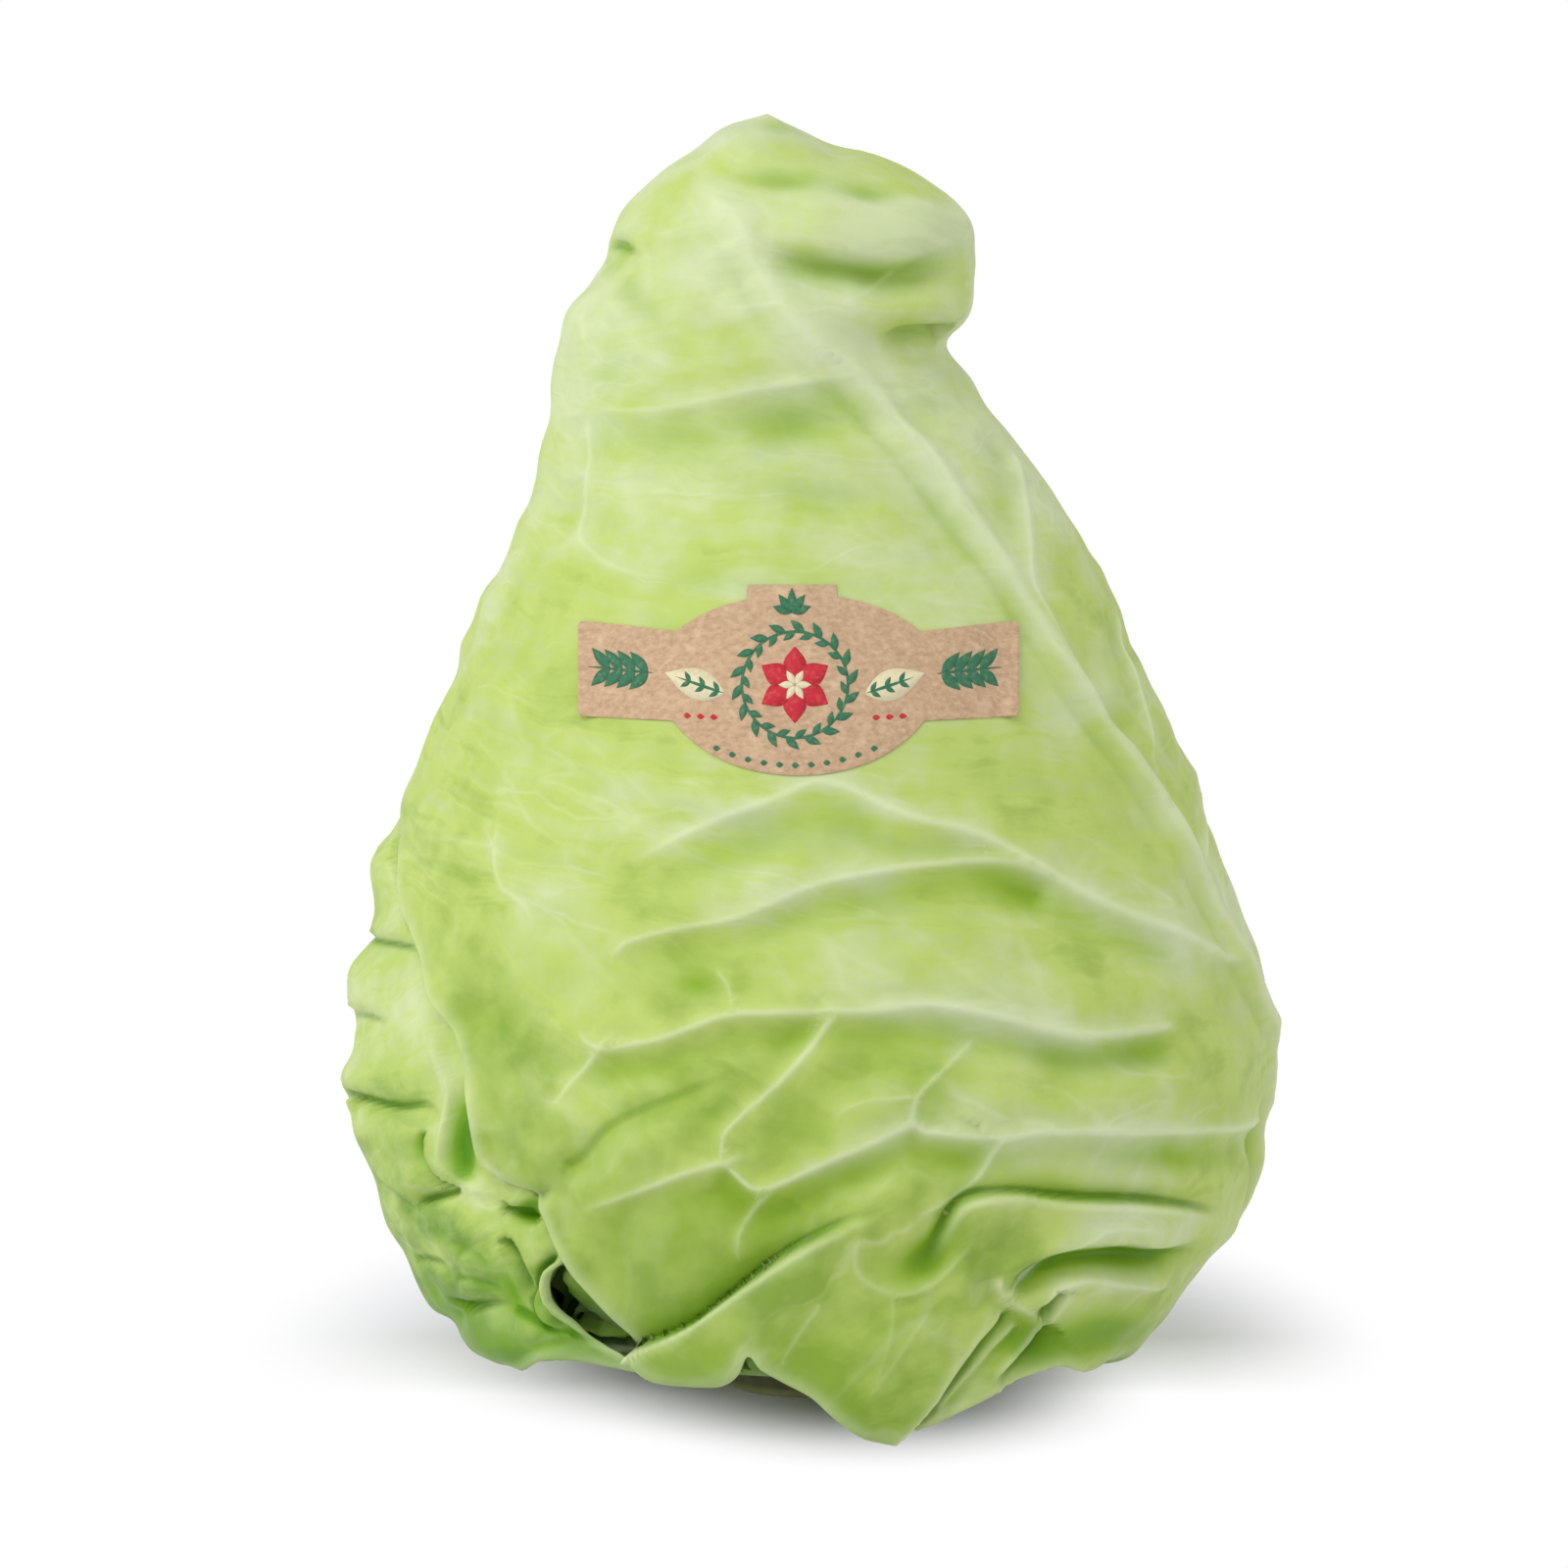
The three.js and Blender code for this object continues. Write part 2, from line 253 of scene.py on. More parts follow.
def keepNearest(out, key, index, s, strength):
    # the signed distance to the closest line, in line widths, and how strong that line is there;
    # midway between two lines that lie on opposite sides neither is drawn
    held = out[key + "Side"][index]
    there = strength > 0.03
    closer = (np.abs(s) < np.abs(held)) & there
    midway = smooth(1.6, 0.2, np.abs(np.abs(s) - np.abs(held)))
    midway *= smooth(0.2, 0.6, np.minimum(np.abs(s), np.abs(held))) * (s * held < 0) * there
    near = np.where(closer, np.clip(1.5 * strength * bell(s, 1.8), 0, 1), out[key + "Near"][index])
    out[key + "Side"][index[closer]] = s[closer]
    out[key + "Near"][index] = near * (1 - midway)


def strengthOf(line, t, past):
    # how strong a line is along its way: it fades at its ends and grows thinner
    fadeIn, fadeOut = line.get("ends", (0.08, 0.25))
    strength = np.clip(t / fadeIn, 0, 1) if fadeIn else np.ones(len(t))
    strength = strength * (np.clip((1 - t) / fadeOut, 0, 1) if fadeOut else 1)
    return smooth(0, 1, strength) * (1 - line.get("taper", 0.4) * t) * bell(past, 2.5)


def drawLine(out, points, line):
    # adds what one line does to the surface round it
    trace = line["trace"]
    reach = max([abs(offset) + 2.6 * width for _, offset, width in line["rise"]] + [6])
    if "step" in line:
        reach = 3 * max(line["step"][1], line["step"][3])
    side, share, past = trace.near(points, reach)
    near = np.nonzero(side < farOff / 2)[0]
    if not len(near):
        return
    s, t = side[near], share[near]
    strength = strengthOf(line, t, past[near])
    for amount, offset, width in line["rise"]:
        out["rise"][near] += amount * bell(s - offset, width) * strength
    if "step" in line:
        rise, hollow = stepOf(s, *line["step"])
        out["rise"][near] += rise * strength
        out["hollow"][near] += hollow * strength
        # a dark line along the fold's crease, painted shade
        if line.get("crisp", True):
            below = (s + line["step"][4]) / creaseWidth
            keepNearest(out, "crease", near, below, min(1, line["step"][2] / 3) * strength)
    # a dark crease line, painted shade
    if "cut" in line:
        amount, offset = line["cut"]
        keepNearest(out, "crease", near, (s - offset) / creaseWidth, amount * strength)
    if "vein" in line:
        amount, width = line["vein"]
        s = s - line.get("crestAt", 0)
        width = width * (1 - 0.4 * t)
        keepNearest(out, "vein", near, s / width, amount * strength)
        # the rib and a wider pale halo round it, which is partly a painted highlight where the rib catches
        # the light
        for key, wide in (("vein", width), ("paleAndHighlight", width * 2.4 + 1.0)):
            out[key][near] = np.maximum(out[key][near], amount * bell(s, wide) * strength)
    if "hollow" in line:
        amount, offset, width = line["hollow"]
        out["hollow"][near] += amount * bell(s - offset, width) * strength
    if "pull" in line:
        amount, offset, width = line["pull"]
        index = np.clip((t * (len(trace.left) - 1)).astype(int), 0, len(trace.left) - 1)
        push = amount * bell(s - offset, width) * strength
        out["pull"][near] += trace.left[index] * push[:, None]


def reliefOf(points, lines, dents):
    # what the lines and dents of a leaf do to its surface: how far it stands out, how far it is
    # pulled sideways, how much of it is vein, how much pale halo it has (partly a painted highlight)
    # and how much shade is painted into its hollows as deeper green
    flat = points.reshape(-1, 3)
    parts = ("rise", "vein", "paleAndHighlight", "hollow", "veinNear", "creaseNear")
    out = {key: np.zeros(len(flat)) for key in parts}
    out["veinSide"] = np.full(len(flat), 4.0)
    out["creaseSide"] = np.full(len(flat), 4.0)
    out["pull"] = np.zeros((len(flat), 3))
    for line in lines:
        drawLine(out, flat, line)
    x, v = asSeen(flat)
    facing = smooth(20, -6, flat[:, 1])
    for atX, atV, wide, high, tilt, *amounts in dents:
        c, d = math.cos(math.radians(tilt)), math.sin(math.radians(tilt))
        across = ((x - atX) * c + (v - atV) * d) / wide
        up = ((v - atV) * c - (x - atX) * d) / high
        shape = np.exp(-np.minimum(across**2 + up**2, 60)) * facing
        for key, amount in zip(("rise", "hollow", "paleAndHighlight"), amounts):
            out[key] += amount * shape
    return {key: value.reshape(points.shape[:2] + value.shape[1:]) for key, value in out.items()}


def edgeLine(places, shares):
    # evenly spaced places along one edge of a leaf's outline, rounded a little at its corners
    p = np.array(places, float)
    fine = smoothLine(p, max(60, 12 * len(p)))
    real = onHead(fine[:, 0], fine[:, 1])
    run = np.concatenate([[0], np.cumsum(np.linalg.norm(np.diff(real, axis=0), axis=1) + 0.02)])
    return np.stack([np.interp(shares * run[-1], run, fine[:, k]) for k in (0, 1)], -1)


def evened(p, passes=260):
    # lets the inside of a grid relax (Winslow's equation), so that no row or column crosses another
    p = p.copy()
    for _ in range(passes):
        across = p[1:-1, 2:] - p[1:-1, :-2]
        up = p[2:, 1:-1] - p[:-2, 1:-1]
        a = (up * up).sum(-1, keepdims=True) + 1e-6
        b = (across * up).sum(-1, keepdims=True)
        c = (across * across).sum(-1, keepdims=True) + 1e-6
        corners = (p[2:, 2:] - p[2:, :-2] - p[:-2, 2:] + p[:-2, :-2]) / 4
        wanted = a * (p[1:-1, 2:] + p[1:-1, :-2]) + c * (p[2:, 1:-1] + p[:-2, 1:-1])
        wanted -= 2 * b * corners
        p[1:-1, 1:-1] += 0.9 * (wanted / (2 * (a + c)) - p[1:-1, 1:-1])
    return p


def sheetOver(outline, columns, rows, crowd=None):
    # turn and h over a leaf: a sheet stretched between its four edges
    u = np.linspace(0, 1, columns + 1)
    v = np.linspace(0, 1, rows + 1)
    if crowd:
        u = np.interp(u, *crowd)
    left, right = edgeLine(outline["left"], v), edgeLine(outline["right"], v)
    bottom, top = edgeLine(outline["bottom"], u), edgeLine(outline["top"], u)
    u, v = u[None, :, None], v[:, None, None]
    sheet = (1 - v) * bottom[None] + v * top[None] + (1 - u) * left[:, None] + u * right[:, None]
    sheet -= (1 - u) * (1 - v) * bottom[0] + u * (1 - v) * bottom[-1]
    sheet -= (1 - u) * v * top[0] + u * v * top[-1]
    sheet = evened(sheet * (degreeWide, 1)) / (degreeWide, 1)
    return sheet[..., 0], np.clip(sheet[..., 1], lowest, highest)


def edgeOf(rows, columns):
    # the places round a grid's edge, in order
    ring = [(0, c) for c in range(columns)] + [(r, columns) for r in range(rows)]
    ring += [(rows, c) for c in range(columns, 0, -1)] + [(r, 0) for r in range(rows, 0, -1)]
    return np.array(ring)


def awayFrom(points, edge, most=60.0):
    tree = KDTree(len(edge))
    for i, p in enumerate(edge):
        tree.insert(p, i)
    tree.balance()
    flat = points.reshape(-1, 3)
    return np.array([min(tree.find(p)[2], most) for p in flat]).reshape(points.shape[:2])


def gridNormals(p):
    across = np.gradient(p, axis=1)
    up = np.gradient(p, axis=0)
    return unit(np.cross(across, up))


def toWorld(points):
    return (np.asarray(points) + axis) * mm


def meshFrom(name, points, faces, values=None):
    mesh = bpy.data.meshes.new(name)
    mesh.from_pydata(toWorld(points).tolist(), [], faces)
    for key, value in (values or {}).items():
        value = np.asarray(value, np.float32)
        kind, field = ("FLOAT", "value") if value.ndim == 1 else ("FLOAT_VECTOR", "vector")
        mesh.attributes.new(key, kind, "POINT").data.foreach_set(field, value.ravel())
    mesh.shade_smooth()
    mesh.update()
    piece = bpy.data.objects.new(name, mesh)
    bpy.context.scene.collection.objects.link(piece)
    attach(piece, "root")
    return piece


def between(grid, row, column):
    # the grid's values at places between its points
    i = np.minimum(row.astype(int), grid.shape[0] - 2)
    j = np.minimum(column.astype(int), grid.shape[1] - 2)
    s, t = row - i, column - j
    if grid.ndim == 3:
        s, t = s[..., None], t[..., None]
    low = grid[i, j] * (1 - t) + grid[i, j + 1] * t
    high = grid[i + 1, j] * (1 - t) + grid[i + 1, j + 1] * t
    return low * (1 - s) + high * s


def insideOf(outside, normal, thick, coarse):
    # the inside has fewer points, and is pushed back where it would cut through a sharp fold
    inside = (outside - normal * thick[..., None])[::coarse, ::coarse]
    rows, columns = thick.shape
    row, column = np.linspace(0, inside.shape[0] - 1, rows), np.linspace(0, inside.shape[1] - 1, columns)
    row, column = np.meshgrid(row, column, indexing="ij")
    steps = range(2 * coarse + 1)
    for _ in range(2):
        through = ((between(inside, row, column) - outside) * normal).sum(-1) + 0.3
        worst = np.pad(np.clip(through, 0, 0.7), coarse)
        worst = np.max([worst[i : i + rows, j : j + columns] for i in steps for j in steps], 0)
        inside = inside - (normal * worst[..., None])[::coarse, ::coarse]
    return inside


def facesOver(*corners):
    return np.stack(corners, -1).reshape(-1, 4).tolist()


def closedRound(grid, low, high):
    # the points and faces of a closed body: rings over each other, with one point under and over them
    rows, columns = grid.shape[:2]
    points = np.array([*grid.reshape(-1, 3), low, high])
    index = np.arange(rows * columns).reshape(rows, columns)
    right = np.roll(index, -1, axis=1)
    faces = facesOver(index[:-1], right[:-1], right[1:], index[1:])
    under, over = rows * columns, rows * columns + 1
    faces += [[under, int(b), int(a)] for a, b in zip(index[0], right[0])]
    faces += [[over, int(a), int(b)] for a, b in zip(index[-1], right[-1])]
    return points, faces


def leafFaces(rows, columns, inside, edge, coarse):
    # the faces of the outside, of the inside and of the rim between them
    fine, count = (rows + 1) * (columns + 1), len(edge[0])
    index = np.arange(fine).reshape(rows + 1, columns + 1)
    faces = facesOver(index[:-1, :-1], index[:-1, 1:], index[1:, 1:], index[1:, :-1])
    back = fine + count + np.arange(inside.shape[0] * inside.shape[1]).reshape(inside.shape[:2])
    faces += facesOver(back[:-1, :-1], back[1:, :-1], back[1:, 1:], back[:-1, 1:])
    around, rim = index[edge], fine + np.arange(count)
    faces += facesOver(around, rim, np.roll(rim, -1), np.roll(around, -1))
    # triangles join the rim to the inside, which has fewer points
    r, c = edge
    behind = back[r[::coarse] // coarse, c[::coarse] // coarse]
    for k in range(len(behind)):
        here, following = behind[k], behind[(k + 1) % len(behind)]
        steps = [fine + (k * coarse + n) % count for n in range(coarse + 1)]
        middle = coarse // 2
        for n in range(coarse):
            faces.append([steps[n], here if n < middle else following, steps[n + 1]])
        faces.append([steps[middle], here, following])
    return [[int(i) for i in face] for face in faces]


offFloor = 0.02  # the gap that leaves keep above the board


def leafMesh(name, outside, thick, values, coarse=2):
    # a closed leaf: a fine outside, a rounded edge and an inside with fewer faces
    rows, columns = outside.shape[0] - 1, outside.shape[1] - 1
    normal = gridNormals(outside)
    inside = insideOf(outside, normal, thick, coarse)
    r, c = edge = tuple(edgeOf(rows, columns).T)
    inner = (np.clip(r, 2, rows - 2), np.clip(c, 2, columns - 2))
    outward = unit(outside[edge] - outside[inner])
    half = thick[edge][:, None] / 2
    rim = outside[edge] + outward * half * 0.7 - normal[edge] * half
    rim[:, 2] = np.maximum(rim[:, 2], offFloor)
    inside[..., 2] = np.maximum(inside[..., 2], offFloor)
    points = np.vstack([outside.reshape(-1, 3), rim, inside.reshape(-1, 3)])
    full = {}
    for key, value in values.items():
        flat, few = (v.reshape(-1, *value.shape[2:]) for v in (value, value[::coarse, ::coarse]))
        full[key] = np.concatenate([flat, value[edge], few])
    return meshFrom(name, points, leafFaces(rows, columns, inside, edge, coarse), full)


def coverOf(turn, h, outline, reach):
    # 0 outside a leaf's outline and 1 well inside it
    shares = np.linspace(0, 1, 90)
    sides = [edgeLine(outline[side], shares) for side in ("bottom", "right", "top", "left")]
    loop = np.vstack([sides[0], sides[1], sides[2][::-1], sides[3][::-1]]) * (degreeWide, 1)
    p = np.stack([np.mod(turn + 175, 360) - 175, h], -1) * (degreeWide, 1)
    flat = p.reshape(-1, 2)
    inside = np.zeros(len(flat), bool)
    a, b = loop, np.roll(loop, -1, axis=0)
    for (ax, ay), (bx, by) in zip(a, b):
        crosses = (ay > flat[:, 1]) != (by > flat[:, 1])
        with np.errstate(divide="ignore", invalid="ignore"):
            at = (bx - ax) * (flat[:, 1] - ay) / (by - ay) + ax
        inside ^= crosses & (flat[:, 0] < at)
    gap = np.full(len(flat), farOff)
    for part in np.array_split(np.arange(len(flat)), max(1, len(flat) // atOnce)):
        gap[part] = np.linalg.norm(flat[part][:, None] - loop[None, ::2], axis=-1).min(1)
    return smooth(-0.9, reach, np.where(inside, gap, -gap)).reshape(turn.shape)


def wrapper(at, toLeft, toRight, top):
    # a leaf that grows from the stump at one turn and wraps the head to both sides
    def side(reach):
        shares = ((0.6, 4), (0.9, 26), (1, 55), (1, 95), (0.94, 130), (0.86, 158), (0.7, top - 16))
        return [(at + reach * share, h) for share, h in shares]

    left, right = side(-toLeft), side(toRight)
    stalk = [(at - 20, lowest), (at + 20, lowest)]
    bottom = [left[0], (at - toLeft * 0.35, -18), *stalk, (at + toRight * 0.35, -18), right[0]]
    over = [left[6], (at - toLeft * 0.4, top - 4), (at, top), (at + toRight * 0.4, top - 4), right[6]]
    return {"left": left, "right": right, "bottom": bottom, "top": over}


def sideVeins(rib, starts, side, reach, climb, seed):
    # side veins that leave a midrib, given as (turn, h) places, and lean towards its tip
    rng = np.random.default_rng(seed)
    path = smoothLine(rib, 60)
    veins = []
    for start in starts:
        turn, h = path[int(start * 59)]
        far = reach * (1 - 0.45 * start) * rng.uniform(0.85, 1.1)
        up = climb * rng.uniform(0.8, 1.2)
        bend = rng.uniform(-3, 3)
        stops = []
        for t in (0, 0.25, 0.5, 0.75, 1):
            high = h + up * (t * 0.75 + 0.25 * t * t) + bend * math.sin(t * 5)
            stops.append((turn + side * far * t, min(high, 204)))
        # seen from outside a vein that runs to the right has its left side up
        below = -side
        veins.append(veinLine(Trace(stops, front=False), 0.75, 1.2, below * 0.9))
        fork = stops[2]
        tip = (fork[0] + side * far * 0.42, fork[1] + (up * 0.2 - 12 * rng.uniform(0.6, 1.2)))
        branch = [fork, ((fork[0] + tip[0]) / 2, (fork[1] + tip[1]) / 2 + 1.5), tip]
        veins.append(veinLine(Trace(branch, front=False), 0.4, 0.8, below * 0.4, pale=0.55))
    return veins


def veinLine(trace, rise, width, dip, pale=0.9, dipWidth=4.0, **more):
    # a raised rib with the blade sagging on one side of it, where shade is painted as deeper green; dip is
    # negative for the right side
    way = 1 if dip > 0 else -1
    rises = [(rise, 0, width), (-abs(dip), way * (width + dipWidth * 0.9), dipWidth)]
    rises.append((abs(dip) * 0.35, -way * (width + dipWidth), dipWidth * 1.3))
    hollow = (min(1.0, abs(dip) * 0.45), way * (width + dipWidth * 0.8), dipWidth)
    return {"trace": trace, "rise": rises, "vein": (pale, width * 0.95), "hollow": hollow, **more}


def foldLine(trace, up, upReach, down, downReach, side, pull=1.2, pale=0.5, **more):
    # a pleat whose edge stands up on one side (1 is left of its travel) and hangs over the other; its
    # crest is painted pale as a highlight
    return {
        "trace": trace,
        "rise": [],
        "step": (up, upReach, down, downReach, side),
        "vein": (pale, 1.1),
        "crestAt": side * 0.7,
        "pull": (-side * pull, side * 0.3, 1.7),
        **more,
    }


# The front leaf: its stalk is on the right, its free edge runs down the left side, reaches the
# board at the front and goes back under the head. Places on the front are (x, v) as seen.
front = {
    "columns": 288,
    "rows": 256,
    "crowd": ([0, 0.74, 1], [0, 0.66, 1]),
    "lift": 0.7,
    "ruffle": 0.7,
    "ruffleSize": 22,
    "curlReach": 5.0,
    "slopes": ([0, 30, 45, 60, 85, 120, 165, 200], [0.35, 0.2, 0.1, 0.02, -0.1, -0.05, 0.05, 0.3]),
    # painted shade and light: the blade darker low down and paler up high
    "lightAndShadeByHeight": (
        [-20, 8, 24, 40, 60, 80, 110, 150, 200],
        [-1.7, -1.5, -1.15, -0.9, -0.45, -0.25, -0.1, 0.1, 0.3],
    ),
    "edge": [
        (-28.5, 6), (-33, 11.5), (-38, 18), (-42, 24), (-44.5, 29),
        (-46.5, 32), (-50, 34), (-53.4, 37), (-54.8, 42), (-55.8, 48), (-56.8, 54),
        (-60, 61), (-63, 67), (-64.5, 73), (-67.5, 80), (-68, 91),
    ],
    "edgeBehind": [
        (-88, 108), (-100, 128), (-118, 150), (-136, 170), (-154, 188), (-168, 204), (-172, 213),
    ],
    "foot": [
        (-28.5, 6), (-26, 3), (-21, 1), (-15, 0.2), (-11.8, 2), (-10, 5.5),
        (-8, 3), (-4, 0.5), (0.3, -1.8), (4.5, -5.5), (9.6, -9.6), (13.8, -9.6),
        (18, -8.1), (23, -4.9), (28, -2.1), (33, 0.6), (38, 2.4), (42, 3.0),
    ],
    "footBehind": [
        (55, 6), (62, -2), (70, -9), (82, -12), (91, -24), (95, -40), (130, -40), (136, -16), (150, 6),
    ],
    "backEdge": [
        (150, 6), (168, 30), (178, 60), (182, 95), (181, 130),
        (182, 160), (190, 180), (200, 194), (205, 204), (205, 213),
    ],
    "midrib": [
        (76, 36), (76, 55), (73, 68), (67, 81), (56, 100), (42, 120), (28.2, 141.6), (18.4, 154.5),
        (8.7, 165.9), (2.3, 170.7), (-2.6, 176.4), (-6.6, 182), (-9.5, 187.5), (-14, 194), (-20, 201),
    ],
}
front["rib"] = [(112, -36), (110, -14), (104, 8), (95, 26)] + [seen(*p) for p in front["midrib"]]
frontOutline = {
    "left": [seen(*p) for p in front["edge"]] + front["edgeBehind"],
    "bottom": [seen(*p) for p in front["foot"]] + front["footBehind"],
    "right": front["backEdge"],
    "top": [(-172, 213), (0, 213), (205, 213)],
}


def vein(places, *shape, **more):
    return veinLine(Trace(places), *shape, **more)


def fold(places, *shape, **more):
    return foldLine(Trace(places), *shape, **more)


def groove(places, rises, **more):
    return {"trace": Trace(places), "rise": rises, **more}


def midribLine(rib, high, width, dip, dipAt):
    # a midrib that stands out between two grooves
    rises = [(high, 0, width), (-dip, dipAt, 1.8), (-dip, -dipAt, 1.8)]
    line = {"trace": Trace(rib, front=False), "rise": rises, "vein": (1.0, width)}
    return {**line, "ends": (0.02, 0.3), "taper": 0.6}


